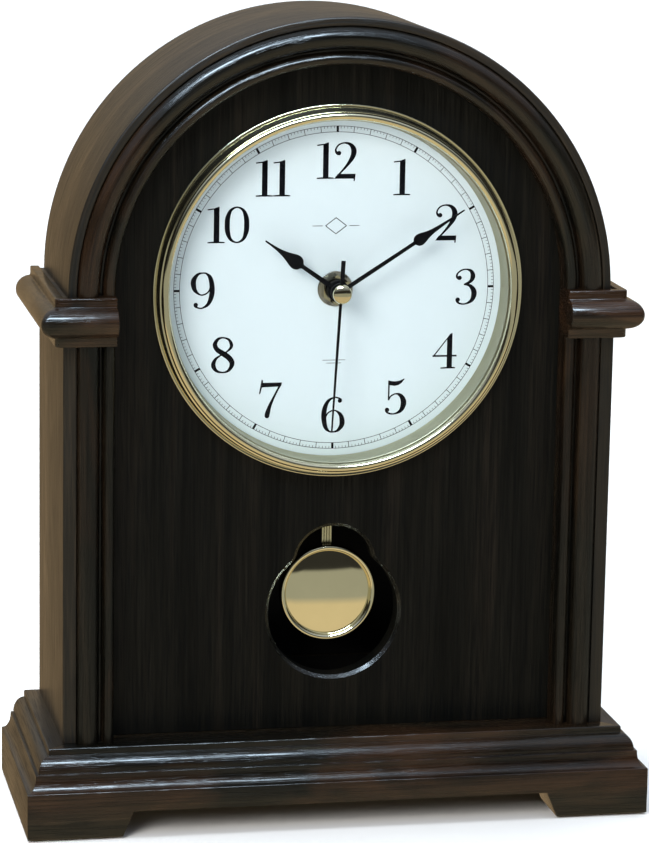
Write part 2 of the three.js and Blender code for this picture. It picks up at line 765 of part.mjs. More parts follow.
function makeMotionWork() {
  const cannonModule = moduleOf(minuteWheelDistance, teeth.cannonPinion, teeth.minuteWheel);
  const hourModule = moduleOf(minuteWheelDistance, teeth.minutePinion, teeth.hourWheel);
  const t = wheelThickness;

  const tubeBack = minuteWheelY + t + 0.1;
  const bore = secondArborRadius + runningGap;
  const cannon = gearSolid(teeth.cannonPinion, cannonModule, bore, minuteWheelY - 0.1, tubeBack, 0, axisZ);
  const minuteTube = tubeY(0, axisZ, minuteTubeRadius, bore, minuteHandY - 0.3, tubeBack).add(cannon);
  add("cannon_pinion", minuteTube, steel);

  const wheelPhase = meshPhase(teeth.minuteWheel, teeth.cannonPinion, 0, 180);
  const [x, z] = settingAt;
  const arborEnd = shellBackY + 1.2;
  const wheelBack = minuteWheelY + t;
  const minuteWheel = gearSolid(teeth.minuteWheel, cannonModule, 0, minuteWheelY, wheelBack, x, z, wheelPhase)
    .add(gearSolid(teeth.minutePinion, hourModule, 0, hourWheelY - 0.1, minuteWheelY + 0.2, x, z))
    .add(barY(x, z, arborRadius, shellFrontY + shellWall + 0.1, arborEnd, 12));
  add("minute_wheel", minuteWheel, whitePlastic);

  const knob = barY(x, z, knobRadius, arborEnd - 0.4, arborEnd + knobThickness, 24)
    .add(barY(x, z, 2.4, arborEnd + 3, arborEnd + knobThickness + 1, 16))
    .subtract(barY(x, z, arborRadius + pressFit, arborEnd - 1, arborEnd + 0.4, 12));
  add("setting_knob", knob, blackPlastic);

  const hourPhase = meshPhase(teeth.hourWheel, teeth.minutePinion, 0, 0);
  const hourBore = minuteTubeRadius + runningGap;
  const hourBack = hourWheelY + t;
  const rim = gearSolid(teeth.hourWheel, hourModule, hourBore, hourWheelY, hourBack, 0, axisZ, hourPhase);
  const hourWheel = tubeY(0, axisZ, hourTubeRadius, hourBore, hourHandY - 0.3, hourBack).add(rim);
  add("hour_wheel", hourWheel, whitePlastic);
}

function makeGoingTrain() {
  const fastModule = moduleOf(thirdDistance, teeth.secondsPinion, teeth.thirdWheel);
  const slowModule = moduleOf(thirdDistance, teeth.thirdPinion, teeth.centreWheel);
  const stepModule = moduleOf(stepDistance, teeth.stepPinion, teeth.secondsWheel);
  const rotorModule = moduleOf(rotorDistance, teeth.rotorPinion, teeth.stepWheel);
  const t = wheelThickness;

  const thirdBack = thirdWheelY + t;
  const pivotEnd = shellBackY - shellWall - 0.1;
  const secondsWheel = barY(0, axisZ, secondArborRadius, secondHandY - 0.4, stepWheelY + t, 16)
    .add(gearSolid(teeth.secondsPinion, fastModule, 0, thirdWheelY - 0.1, thirdBack + 0.1, 0, axisZ))
    .add(gearSolid(teeth.secondsWheel, stepModule, 0, secondsWheelY, secondsWheelY + t, 0, axisZ));
  add("seconds_wheel", secondsWheel, whitePlastic);

  const [tx, tz] = thirdAt;
  const thirdPhase = meshPhase(teeth.thirdWheel, teeth.secondsPinion, 0, 35);
  const third = gearSolid(teeth.thirdWheel, fastModule, 0, thirdWheelY, thirdBack, tx, tz, thirdPhase)
    .add(gearSolid(teeth.thirdPinion, slowModule, 0, centreWheelY - 0.1, thirdWheelY + 0.1, tx, tz))
    .add(barY(tx, tz, arborRadius, shellFrontY + shellWall + 0.1, pivotEnd, 12));
  add("third_wheel", third, whitePlastic);

  const centrePhase = meshPhase(teeth.centreWheel, teeth.thirdPinion, 0, 215);
  const bore = secondArborRadius + runningGap;
  const y = centreWheelY;
  const centre = gearSolid(teeth.centreWheel, slowModule, bore, y, y + t, 0, axisZ, centrePhase);
  add("centre_wheel", centre, whitePlastic);

  const [sx, sz] = stepAt;
  const stepPhase = meshPhase(teeth.stepPinion, teeth.secondsWheel, 0, 285);
  const stepWheel = gearSolid(teeth.stepWheel, rotorModule, 0, stepWheelY, stepWheelY + t, sx, sz)
    .add(gearSolid(teeth.stepPinion, stepModule, 0, secondsWheelY - 0.1, stepWheelY + 0.1, sx, sz, stepPhase))
    .add(barY(sx, sz, 0.45, middlePlateY + 0.2, pivotEnd, 12));
  add("step_wheel", stepWheel, whitePlastic);

  const [rx, rz] = rotorAt;
  const rotorPhase = meshPhase(teeth.rotorPinion, teeth.stepWheel, 0, 315);
  const leavesFront = stepWheelY - 0.1;
  const leavesBack = stepWheelY + t + 0.1;
  const rotor = gearSolid(teeth.rotorPinion, rotorModule, 0, leavesFront, leavesBack, rx, rz, rotorPhase)
    .add(barY(rx, rz, 0.4, middlePlateY + 0.2, pivotEnd, 12))
    .add(barY(rx, rz, rotorRadius, rotorY, rotorY + rotorLength, 20));
  add("rotor", rotor, steel);
}

// ---------------------------------------------------------------- movement
function makeMovement() {
  const w = shellHalfWidth;
  const inner = w - shellWall;
  const trainTopZ = bayBottomZ - shellWall;
  const slotHalf = 8;

  const floorY = shellFrontY + shellWall;
  const footZ = shellBottomZ + shellWall;
  const frontPocket = block(-inner, inner, floorY, shellSplitY + 1, footZ, trainTopZ);
  const bay = block(-inner, inner, floorY, shellBackY + 1, bayBottomZ, bayTopZ);
  const slot = block(-slotHalf, slotHalf, rodY - 2, rodY + 2, shellBottomZ - 1, footZ + 1);
  const frontShell = block(-w, w, shellFrontY, shellSplitY - gap / 2, shellBottomZ, shellTopZ)
    .subtract(frontPocket)
    .subtract(bay)
    .subtract(slot)
    .add(barY(0, axisZ, bushingRadius, hourHandY + 1.8, shellFrontY + 0.2))
    .add(barY(0, pivotZ, pivotPinRadius, shellFrontY + 0.2, shellSplitY - 1, 12))
    .subtract(barY(0, axisZ, hourTubeRadius + 0.3, hourHandY - 1, shellSplitY));
  add("movement_front_shell", frontShell, blackPlastic);

  const backPocket = block(-inner, inner, shellSplitY - 1, shellBackY - shellWall, footZ, trainTopZ);
  const [kx, kz] = settingAt;
  const backShell = block(-w, w, shellSplitY + gap / 2, shellBackY, shellBottomZ, shellTopZ)
    .subtract(backPocket)
    .subtract(bay)
    .subtract(barY(kx, kz, arborRadius + 0.4, shellSplitY, shellBackY + 1, 12));
  add("movement_back_shell", backShell, blackPlastic);

  const washerY = dialY - gap - washerThickness;
  add("dial_washer", tubeY(0, axisZ, washerRadius, bushingRadius + gap, washerY, dialY - gap, 32), nickel);
  const nutBackY = washerY - gap;
  const nut = barY(0, axisZ, nutAcross, nutBackY - nutThickness, nutBackY, 6)
    .subtract(barY(0, axisZ, bushingRadius + gap, washerY - 4, washerY, 24));
  add("hex_nut", nut, gold);

  // The middle plate carries the front pivots of the step wheel and of the rotor.
  const plateHalf = inner - gap;
  const plateFootZ = axisZ - plateDrop;
  let middle = block(-plateHalf, plateHalf, middlePlateY, middlePlateY + 0.8, plateFootZ, trainTopZ - gap);
  for (const [[x, z], r] of [
    [[0, axisZ], 1.1],
    [settingAt, 1.1],
    [thirdAt, 1.1],
    [stepAt, 0.6],
    [rotorAt, 0.55],
  ]) {
    middle = middle.subtract(barY(x, z, r, middlePlateY - 1, middlePlateY + 2, 12));
  }
  add("middle_plate", middle, whitePlastic);

  // Stepping motor: an iron stator round the rotor, with the coil across its open side.
  const [rx, rz] = rotorAt;
  const ironY = rotorY + 0.7;
  const iron = (x0, x1, z0, z1) => block(x0, x1, ironY, ironY + ironThickness, z0, z1);
  const stator = iron(rx - 4.6, rx + 4.4, rz - statorHalf, rz + statorHalf)
    .add(iron(rx - 13, rx - 4.5, rz + statorHalf - yokeWidth, rz + statorHalf))
    .add(iron(rx - 13, rx - 4.5, rz - statorHalf, rz - statorHalf + yokeWidth))
    .subtract(barY(rx, rz, rotorRadius + slack, rotorY - 1, rotorY + 4, 20));
  add("stator", stator, steel);
  const coilHalf = statorHalf - yokeWidth - gap;
  const coilY = ironY + ironThickness / 2;
  const coil = barZ(rx - 10, coilY, motorCoilRadius, rz - coilHalf, rz + coilHalf, 16);
  add("motor_coil", coil, copper);

  const boardBackY = shellBackY - shellWall - gap;
  const board = block(6, inner - 1, boardBackY - boardThickness, boardBackY, axisZ - 22, axisZ + 6);
  add("circuit_board", board, boardGreen);

  // Battery and its two contacts, in the bay at the top.
  const cellY = floorY + bayRelief + batteryRadius;
  const cellZ = (bayBottomZ + bayTopZ) / 2;
  const cell = barX(cellY, cellZ, batteryRadius, -batteryLength / 2, batteryLength / 2, 24)
    .add(barX(cellY, cellZ, 2.6, batteryLength / 2 - 0.2, batteryLength / 2 + 1, 16));
  add("battery", cell, batteryBlue);
  const contact = (x0) =>
    block(x0, x0 + contactThickness, cellY - 5, cellY + 5, bayBottomZ + gap, bayTopZ - gap);
  add("positive_contact", contact(inner - gap - contactThickness), steel);
  add("negative_contact", contact(-inner + gap), steel);
}

// ---------------------------------------------------------------- pendulum
function makePendulum() {
  const rodTopZ = shellBottomZ - 4;
  const hookZ = rodTopZ - 6;
  const magnetZ = shellBottomZ + shellWall + magnetRise;
  const armFrontY = rodY - hangerDepth / 2;
  const armBackY = rodY + hangerDepth / 2;
  const arm = block(-hangerHalf, hangerHalf, armFrontY, armBackY, hookZ, pivotZ)
    .add(barY(0, pivotZ, 3.2, armFrontY, armBackY, 20))
    .add(barY(0, magnetZ, 3.6, rodY, armBackY + 1.6, 20))
    .subtract(barY(0, pivotZ, pivotPinRadius + 0.15, rodY - 2, rodY + 2, 12));
  add("pendulum_hanger", arm, whitePlastic);
  const coilFrontY = armBackY + 2.6;
  const coil = tubeY(0, magnetZ, driveCoilRadius, 2, coilFrontY, coilFrontY + driveCoilLength, 20);
  add("pendulum_coil", coil, copper);

  // The rod hooks over the foot of the hanger and carries the bob on its lower end.
  const rodHalf = rodWidth / 2;
  const rodFrontY = armFrontY - gap - rodThickness;
  const rod = block(-rodHalf, rodHalf, rodFrontY, rodFrontY + rodThickness, bobZ - 3, rodTopZ)
    .add(block(-rodHalf, rodHalf, rodFrontY, rodY + 1.4, hookZ - gap - rodThickness, hookZ - gap))
    .add(block(-rodHalf, rodHalf, rodY + 1.3, rodY + 2.1, hookZ - gap - rodThickness, hookZ + 4));
  add("pendulum_rod", rod, gold);

  const bobBackY = rodFrontY - gap;
  const bobFrontY = bobBackY - bobThickness;
  const bobSection = [
    [0, bobBackY],
    [bobRadius - 1.2, bobBackY],
    [bobRadius, bobBackY - 1.2],
    [bobRadius, bobFrontY + 0.8],
    [bobRadius - 0.6, bobFrontY],
    [bobRadius - 1.6, bobFrontY + 0.2],
    [bobRadius - 2, bobFrontY + 1.2],
    [bobRadius * 0.6, bobFrontY + 0.7],
    [0, bobFrontY + 0.4],
  ];
  add("pendulum_bob", turned(bobSection, bobZ, 32), gold);
}

// ---------------------------------------------------------------- back
function makeBack() {
  const frameFrontY = frameBackY - doorThickness;
  const outer = archedShape(frameHalf, hollowRadius - gap, caseFootZ, springZ);
  const doorwayHalf = frameHalf - frameWidth;
  const doorwayRadius = hollowRadius - gap - frameWidth;
  const doorway = archedShape(doorwayHalf, doorwayRadius, caseFootZ + frameWidth, springZ);
  const frame = plate(outer, frameFrontY, frameBackY, 20)
    .subtract(plate(doorway, frameFrontY - 1, frameBackY + 1, 20));
  add("back_frame", frame, blackBoard);

  const door = plate(archedShape(doorHalf, doorRadius, doorFootZ, springZ), frameFrontY, frameBackY, 20);
  add("back_door", door, blackBoard);

  const leafY0 = frameBackY + gap;
  const leafY1 = leafY0 + leafThickness;
  hingeZs.forEach((z, i) => {
    const place = i === 0 ? "lower" : "upper";
    const z0 = z - hingeHeight / 2;
    const z1 = z + hingeHeight / 2;
    const third = hingeHeight / 3;
    const bore = (a, b) => barZ(hingeX, hingeY, pinRadius + 0.15, a - 1, b + 1, 16);
    const knuckle = (a, b) => barZ(hingeX, hingeY, knuckleRadius - gap / 2, a, b, 16);
    const keep = knuckleRadius + gap;
    const fixed = block(hingeX - leafWidth, hingeX - 0.4, leafY0, leafY1, z0, z1)
      .subtract(block(hingeX - keep, hingeX + 1, leafY0 - 1, leafY1 + 1, z0 + third - gap, z1 - third + gap))
      .add(knuckle(z0, z0 + third - gap))
      .add(knuckle(z1 - third + gap, z1))
      .subtract(bore(z0, z1));
    add("frame_hinge_leaf_" + place, fixed, gold);
    const moving = block(hingeX + 0.4, hingeX + leafWidth, leafY0, leafY1, z0, z1)
      .subtract(block(hingeX - 1, hingeX + keep, leafY0 - 1, leafY1 + 1, z0 - 1, z0 + third + gap))
      .subtract(block(hingeX - 1, hingeX + keep, leafY0 - 1, leafY1 + 1, z1 - third - gap, z1 + 1))
      .add(knuckle(z0 + third + gap, z1 - third - gap))
      .subtract(bore(z0, z1));
    add("door_hinge_leaf_" + place, moving, gold);
    add("hinge_pin_" + place, barZ(hingeX, hingeY, pinRadius, z0, z1, 16), steel);
  });

  // A magnet catch inside the frame stops the door, which has a low pull near its free edge.
  const catchY1 = frameFrontY - gap;
  add(
    "door_catch",
    block(doorHalf - 6, doorHalf + 9, catchY1 - catchDepth, catchY1, pullZ - 9, pullZ + 9),
    nickel,
  );
  const pullY0 = frameBackY + gap;
  const pull = barY(doorHalf - 14, pullZ, 3, pullY0, pullY0 + 2, 20)
    .add(barY(doorHalf - 14, pullZ, 5.5, pullY0 + 1.6, pullY0 + 3.2, 24));
  add("door_pull", pull, gold);
}

makeBase();
makeSides();
makeFrontMouldings();
makeCapitals();
makeFrontPanel();
makeDial();
makeHands();
makeMotionWork();
makeGoingTrain();
makeMovement();
makePendulum();
makeBack();

export default clock;
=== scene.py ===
"""Mantel clock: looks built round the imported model. Sizes here are in millimetres unless said."""
import math

import bmesh
import bpy
from mathutils import Matrix, Vector


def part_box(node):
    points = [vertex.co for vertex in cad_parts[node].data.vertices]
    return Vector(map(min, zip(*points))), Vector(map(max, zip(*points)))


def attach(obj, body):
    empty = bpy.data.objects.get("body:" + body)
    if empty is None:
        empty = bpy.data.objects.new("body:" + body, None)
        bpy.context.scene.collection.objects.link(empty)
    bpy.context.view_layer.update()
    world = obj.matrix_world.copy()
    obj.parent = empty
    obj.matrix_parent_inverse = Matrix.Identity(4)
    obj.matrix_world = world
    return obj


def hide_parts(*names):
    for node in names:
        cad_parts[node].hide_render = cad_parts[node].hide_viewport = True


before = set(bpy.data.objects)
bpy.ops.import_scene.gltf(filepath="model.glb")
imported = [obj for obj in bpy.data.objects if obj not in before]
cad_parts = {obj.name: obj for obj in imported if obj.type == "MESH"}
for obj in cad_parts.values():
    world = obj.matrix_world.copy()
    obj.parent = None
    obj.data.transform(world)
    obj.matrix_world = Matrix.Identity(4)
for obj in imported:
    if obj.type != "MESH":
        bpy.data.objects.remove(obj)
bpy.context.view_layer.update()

MM = 0.001
FINE = 144  # facets in a full turn of a large round piece
TURNS = 8  # facets in a small rounding of a quarter turn
SIDES = (("left", -1), ("right", 1))


# ---- places, from the frame
def span(node):
    """Lowest and highest corner of a CAD node, in millimetres."""
    low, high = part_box(node)
    return [c / MM for c in low], [c / MM for c in high]


base_low, base_high = span("base_right_moulding")
front_low, _ = span("base_front_moulding")
side_low, side_high = span("right_side_panel")
_, arch_high = span("arch_shell")
reed_low, reed_high = span("right_pilaster")
capital_low, capital_high = span("right_capital")
panel_low, panel_high = span("front_panel")
bezel_low, bezel_high = span("bezel")
_, lens_high = span("lens")
dial_low, dial_high = span("dial_plate")
surround_low, surround_high = span("dial_surround")
bob_low, bob_high = span("pendulum_bob")
rod_low, rod_high = span("pendulum_rod")
cap_low, cap_high = span("second_hand_cap")
washer_low, washer_high = span("dial_washer")
frame_low, frame_high = span("back_frame")
door_low, door_high = span("back_door")

FRONT_Y = front_low[1]
BACK_Y = base_high[1]
BASE_TOP = base_high[2]
BASE_FOOT = base_low[2]
SKIRT_HALF = base_high[0]
MOULDING_WIDTH = base_high[0] - base_low[0]
STEP = 9.3  # from the skirt in to the base's upright top edge
TOP_HALF = SKIRT_HALF - STEP
TOP_FRONT_Y = FRONT_Y + STEP

CASE_HALF = side_high[0]
CASE_FRONT_Y = side_low[1]
WALL = CASE_HALF - side_low[0]
ARCH_RADIUS = arch_high[0]
SPRING_Z = arch_high[2] - ARCH_RADIUS
LINER = reed_high[0]
INNER = reed_low[0]
REBATE_Y = panel_high[1] + 0.3
PANEL_Y = panel_low[1]
AXIS_Z = (bezel_low[2] + bezel_high[2]) / 2
BEZEL_RADIUS = bezel_high[0]
DIAL_Y = dial_low[1]
DIAL_RADIUS = dial_high[0]
BOB_Z = (bob_low[2] + bob_high[2]) / 2
BOB_RADIUS = bob_high[0]
CAPITAL_TOP = capital_high[2]
CAPITAL_FOOT = capital_low[2]


# ---- mesh helpers
def to_object(name, bm, weld=True):
    if weld:
        bmesh.ops.remove_doubles(bm, verts=bm.verts, dist=1e-4)
    bmesh.ops.recalc_face_normals(bm, faces=bm.faces)
    for v in bm.verts:
        v.co *= MM
    mesh = bpy.data.meshes.new(name)
    bm.to_mesh(mesh)
    bm.free()
    obj = bpy.data.objects.new(name, mesh)
    bpy.context.scene.collection.objects.link(obj)
    return obj


def smooth(obj, degrees=32):
    """Smooth shading, with edges sharper than the angle kept crisp."""
    obj.data.shade_smooth()
    obj.data.set_sharp_from_angle(angle=math.radians(degrees))


def soften(obj, width, segments=3, degrees=38):
    """Rounds the sharp edges and applies the result."""
    bevel = obj.modifiers.new("soft_edges", "BEVEL")
    bevel.width = width * MM
    bevel.segments = segments
    bevel.limit_method = "ANGLE"
    bevel.angle_limit = math.radians(degrees)
    bevel.use_clamp_overlap = True
    apply_modifiers(obj)
    smooth(obj)


def apply_modifiers(obj):
    graph = bpy.context.evaluated_depsgraph_get()
    mesh = bpy.data.meshes.new_from_object(obj.evaluated_get(graph))
    obj.modifiers.clear()
    old = obj.data
    obj.data = mesh
    bpy.data.meshes.remove(old)


def cut(obj, cutter):
    boolean = obj.modifiers.new("cut", "BOOLEAN")
    boolean.operation = "DIFFERENCE"
    boolean.solver = "EXACT"
    boolean.object = cutter
    apply_modifiers(obj)
    bpy.data.objects.remove(cutter)


def loft(bm, rings, closed=True, caps=True):
    """Skins rings of points that have the same length. A closed ring joins its last point to its first."""
    made = [[bm.verts.new(p) for p in ring] for ring in rings]
    count = len(rings[0])
    last = count if closed else count - 1
    for a, b in zip(made, made[1:]):
        for i in range(last):
            j = (i + 1) % count
            quad = [a[i], a[j], b[j], b[i]]
            if len({v for v in quad}) > 2:
                bm.faces.new(quad)
    if caps:
        bm.faces.new(made[0])
        bm.faces.new(list(reversed(made[-1])))
    return made


def lofted(name, rings, **options):
    bm = bmesh.new()
    loft(bm, rings, **options)
    return to_object(name, bm)


def turned_rings(section, z, x=0.0, steps=FINE):
    """Copies of a section of [radius, y] all round a line along Y, with the first again at the end."""
    turns = [2 * math.pi * k / steps for k in range(steps)] + [0.0]
    return [[(x + r * math.sin(a), y, z + r * math.cos(a)) for r, y in section] for a in turns]


def lathe(name, section, z, x=0.0, steps=FINE):
    """A ring or disc turned about a line along Y. The section is [radius, y], ends on the axis or closes."""
    bm = bmesh.new()
    on_axis = section[0][0] == 0 and section[-1][0] == 0
    loft(bm, turned_rings(section, z, x, steps), closed=not on_axis, caps=False)
    bmesh.ops.remove_doubles(bm, verts=bm.verts, dist=1e-4)
    return to_object(name, bm)


def prism(name, outline, y0, y1):
    """An outline of [x, z] given thickness along Y."""
    return lofted(name, [[(x, y, z) for x, z in outline] for y in (y0, y1)])


def arc(cx, cy, rx, ry, start, end, steps):
    points = []
    for k in range(steps + 1):
        a = math.radians(start + (end - start) * k / steps)
        points.append((cx + rx * math.cos(a), cy + ry * math.sin(a)))
    return points


def filleted(corners, steps=4):
    """Rounds each corner (a, b, radius) of a closed outline with an arc."""
    outline = []
    for i, (a, b, r) in enumerate(corners):
        here = Vector((a, b))
        if r == 0:
            outline.append((a, b))
            continue
        before = Vector(corners[i - 1][:2])
        after = Vector(corners[(i + 1) % len(corners)][:2])
        u, v = (before - here).normalized(), (after - here).normalized()
        half = u.angle(v) / 2
        back = r / math.tan(half)
        centre = here + (u + v).normalized() * (r / math.sin(half))
        first, last = here + u * back, here + v * back
        start = math.atan2(*(first - centre).yx)
        turn = math.atan2(*(last - centre).yx) - start
        turn = (turn + math.pi) % (2 * math.pi) - math.pi
        for k in range(steps + 1):
            t = start + turn * k / steps
            outline.append((centre.x + r * math.cos(t), centre.y + r * math.sin(t)))
    return outline


def arched(half, radius, foot, spring, steps=72):
    """Outline of an arched board; half is the half width below the spring line."""
    outline = [(-half, foot), (half, foot), (half, spring - 0.01)]
    outline += arc(0, spring, radius, radius, 0, 180, steps)
    outline += [(-half, spring - 0.01)]
    return outline


def revolve_arch(name, section, foot):
    """A section of [radius, y] taken round the arch, cut level at foot."""
    bm = bmesh.new()
    rings = []
    steps = FINE // 2
    for k in range(-2, steps + 3):
        a = math.pi * k / steps
        rings.append([(r * math.cos(a), y, SPRING_Z + r * math.sin(a)) for r, y in section])
    loft(bm, rings)
    geometry = bm.verts[:] + bm.edges[:] + bm.faces[:]
    cut_at = bmesh.ops.bisect_plane(
        bm, geom=geometry, plane_co=(0, 0, foot), plane_no=(0, 0, -1), clear_outer=True
    )
    edges = [e for e in cut_at["geom_cut"] if isinstance(e, bmesh.types.BMEdge)]
    bmesh.ops.contextual_create(bm, geom=edges)
    bmesh.ops.holes_fill(bm, edges=bm.edges, sides=0)
    return to_object(name, bm)


# ---- materials
def material(name):
    """A new material, its node tree, its shader and its object coordinates."""
    made = bpy.data.materials.new(name)
    made.use_nodes = True
    tree = made.node_tree
    tree.nodes.clear()
    output = tree.nodes.new("ShaderNodeOutputMaterial")
    shader = tree.nodes.new("ShaderNodeBsdfPrincipled")
    tree.links.new(shader.outputs["BSDF"], output.inputs["Surface"])
    return made, tree, shader, tree.nodes.new("ShaderNodeTexCoord").outputs["Object"]


def math_node(tree, operation, a, b=None):
    made = tree.nodes.new("ShaderNodeMath")
    made.operation = operation
    for socket, value in zip(made.inputs, (a, b)):
        if value is None:
            continue
        if isinstance(value, (int, float)):
            socket.default_value = value
        else:
            tree.links.new(value, socket)
    return made.outputs[0]


def ramp(tree, factor, stops):
    """A colour ramp; stops are (place, colour or grey)."""
    made = tree.nodes.new("ShaderNodeValToRGB")
    elements = made.color_ramp.elements
    while len(elements) < len(stops):
        elements.new(0.5)
    for element, (place, colour) in zip(elements, stops):
        element.position = place
        grey = (colour,) * 3 if isinstance(colour, (int, float)) else colour
        element.color = (*grey, 1)
    tree.links.new(factor, made.inputs["Fac"])
    return made.outputs["Color"]


def noise(tree, vector, scale, detail=4, rough=0.55, distortion=0.0):
    made = tree.nodes.new("ShaderNodeTexNoise")
    made.inputs["Scale"].default_value = scale
    made.inputs["Detail"].default_value = detail
    made.inputs["Roughness"].default_value = rough
    made.inputs["Distortion"].default_value = distortion
    tree.links.new(vector, made.inputs["Vector"])
    return made.outputs["Fac"]


def scaled(tree, vector, scale, place=(0, 0, 0)):
    made = tree.nodes.new("ShaderNodeMapping")
    made.inputs["Scale"].default_value = scale
    made.inputs["Location"].default_value = place
    tree.links.new(vector, made.inputs["Vector"])
    return made.outputs["Vector"]


def mixed(tree, factor, first, second, blend="MIX"):
    """Two colours mixed by a fixed or a linked factor."""
    made = tree.nodes.new("ShaderNodeMix")
    made.data_type = "RGBA"
    made.blend_type = blend
    for socket, value in zip((made.inputs[0], made.inputs[6], made.inputs[7]), (factor, first, second)):
        if isinstance(value, (float, tuple)):
            socket.default_value = value
        else:
            tree.links.new(value, socket)
    return made.outputs[2]


def tint(tree, shader, factor, stops):
    tree.links.new(ramp(tree, factor, stops), shader.inputs["Base Color"])


def roughen(tree, shader, texture, amount, least):
    """Roughness that goes up from its least value with the texture."""
    rough = math_node(tree, "ADD", math_node(tree, "MULTIPLY", texture, amount), least)
    tree.links.new(rough, shader.inputs["Roughness"])


def bump(tree, shader, height, strength, distance):
    made = tree.nodes.new("ShaderNodeBump")
    made.inputs["Strength"].default_value = strength
    made.inputs["Distance"].default_value = distance * MM
    tree.links.new(height, made.inputs["Height"])
    tree.links.new(made.outputs["Normal"], shader.inputs["Normal"])


def grain_space(tree, coords, grain):
    """The coordinates, in metres, with the grain along the first axis."""
    split = tree.nodes.new("ShaderNodeSeparateXYZ")
    tree.links.new(coords, split.inputs[0])
    x, y, z = split.outputs
    joined = tree.nodes.new("ShaderNodeCombineXYZ")
    if grain == "arch":
        up = math_node(tree, "SUBTRACT", z, SPRING_Z * MM)
        angle = math_node(tree, "ARCTAN2", x, up)
        along = math_node(tree, "MULTIPLY", angle, ARCH_RADIUS * MM)
        across, rise = math_node(tree, "MULTIPLY", x, x), math_node(tree, "MULTIPLY", up, up)
        out = math_node(tree, "SQRT", math_node(tree, "ADD", across, rise))
        order = (along, y, out)
    else:
        order = {"x": (x, y, z), "y": (y, z, x), "z": (z, x, y)}[grain]
    for source, socket in zip(order, joined.inputs):
        tree.links.new(source, socket)
    return joined.outputs[0]


def ebonised(name, grain, brown=0.5, gloss=0.3, place=(0, 0, 0), shine=0.2, even=0.0, rust=0.0):
    """Dark stained ash: brown figure along the grain, fine open pores, satin lacquer."""
    made, tree, shader, coords = material(name)
    space = grain_space(tree, coords, grain)
    figure_space = scaled(tree, space, (3.0, 90, 90), place)
    figure = noise(tree, figure_space, 1.0, 5, 0.6, 0.6)
    streak = noise(tree, scaled(tree, space, (14, 900, 900), place), 1.0, 3, 0.6)
    pores = noise(tree, scaled(tree, space, (60, 2600, 2600), place), 1.0, 2, 0.5)
    pore_mask = ramp(tree, pores, [(0.50, 0.0), (0.62, 1.0)])
    dark = (0.0024, 0.0023, 0.0017)
    mid = (0.0048 + 0.012 * brown, 0.0044 + 0.0070 * brown, 0.0030 + 0.0030 * brown)
    light = (0.0095 + 0.062 * brown, 0.0072 + 0.038 * brown, 0.0047 + 0.017 * brown)
    dark = tuple(d + even * (m - d) for d, m in zip(dark, mid))
    light = tuple(l + even * (m - l) * 0.5 for l, m in zip(light, mid))
    colour = ramp(tree, figure, [(0.36, dark), (0.52, mid), (0.72, light)])
    fine = ramp(tree, streak, [(0.3, 0.45), (0.7, 1.35)])
    figured = mixed(tree, 1.0, colour, fine, "MULTIPLY")
    open_pores = ramp(tree, pores, [(0.50, 1.0), (0.62, 0.25)])
    pored = mixed(tree, 0.75, figured, open_pores, "MULTIPLY")
    patches = noise(tree, scaled(tree, space, (9, 26, 26), place), 1.0, 3, 0.6, 0.8)
    bare = ramp(tree, streak, [(0.3, (0.020, 0.0085, 0.0036)), (0.7, (0.066, 0.030, 0.0125))])
    worn = mixed(tree, ramp(tree, patches, [(0.47, 0.0), (0.66, rust)]), pored, bare)
    tree.links.new(worn, shader.inputs["Base Color"])
    wear = noise(tree, scaled(tree, space, (25, 60, 60), place), 1.0, 4, 0.6)
    rough = math_node(tree, "ADD", math_node(tree, "MULTIPLY", wear, 0.16), gloss - 0.06)
    rough = math_node(tree, "ADD", rough, math_node(tree, "MULTIPLY", pore_mask, 0.12))
    tree.links.new(rough, shader.inputs["Roughness"])
    shader.inputs["Specular IOR Level"].default_value = shine
    height = math_node(tree, "SUBTRACT", math_node(tree, "MULTIPLY", streak, 0.5), pore_mask)
    bump(tree, shader, height, 0.55, 0.05)
    return made


def metal(name, colour, rough, scratch=0.05, brushed=None):
    """Plated metal with fine wear in its gloss."""
    made, tree, shader, coords = material(name)
    stretch = {None: (1, 1, 1), "x": (0.02, 1, 1), "y": (1, 0.02, 1), "z": (1, 1, 0.02)}[brushed]
    space = scaled(tree, coords, stretch)
    wear = noise(tree, space, 420, 5, 0.65)
    cloud = noise(tree, coords, 45, 3, 0.5)
    tint(tree, shader, cloud, [(0.3, tuple(c * 0.90 for c in colour)), (0.7, colour)])
    shader.inputs["Metallic"].default_value = 1.0
    roughen(tree, shader, wear, scratch, rough - scratch / 2)
    bump(tree, shader, wear, 0.12, 0.01)
    return made


def plastic(name, colour, rough, grain_scale=2500, depth=0.02, shine=0.5):
    """Moulded plastic with a fine spark-eroded texture."""
    made, tree, shader, coords = material(name)
    texture = noise(tree, coords, grain_scale, 2, 0.5)
    cloud = noise(tree, coords, 60, 3, 0.5)
    tint(tree, shader, cloud, [(0.3, tuple(c * 0.86 for c in colour)), (0.7, colour)])
    roughen(tree, shader, texture, 0.16, rough - 0.08)
    shader.inputs["Specular IOR Level"].default_value = shine
    bump(tree, shader, texture, 0.35, depth)
    return made


def wound(name, colour):
    """Enamelled wire, wound in fine turns, with painted shade in the grooves between them."""
    made, tree, shader, coords = material(name)
    waves = tree.nodes.new("ShaderNodeTexWave")
    waves.bands_direction = "Z"
    waves.inputs["Scale"].default_value = 1400
    tree.links.new(coords, waves.inputs["Vector"])
    # the bands go dark where the bump puts the grooves between turns: painted shade, not a colour of the wire
    tint(tree, shader, waves.outputs["Fac"], [(0.0, tuple(c * 0.35 for c in colour)), (0.6, colour)])
    shader.inputs["Metallic"].default_value = 1.0
    shader.inputs["Roughness"].default_value = 0.35
    bump(tree, shader, waves.outputs["Fac"], 0.6, 0.06)
    return made


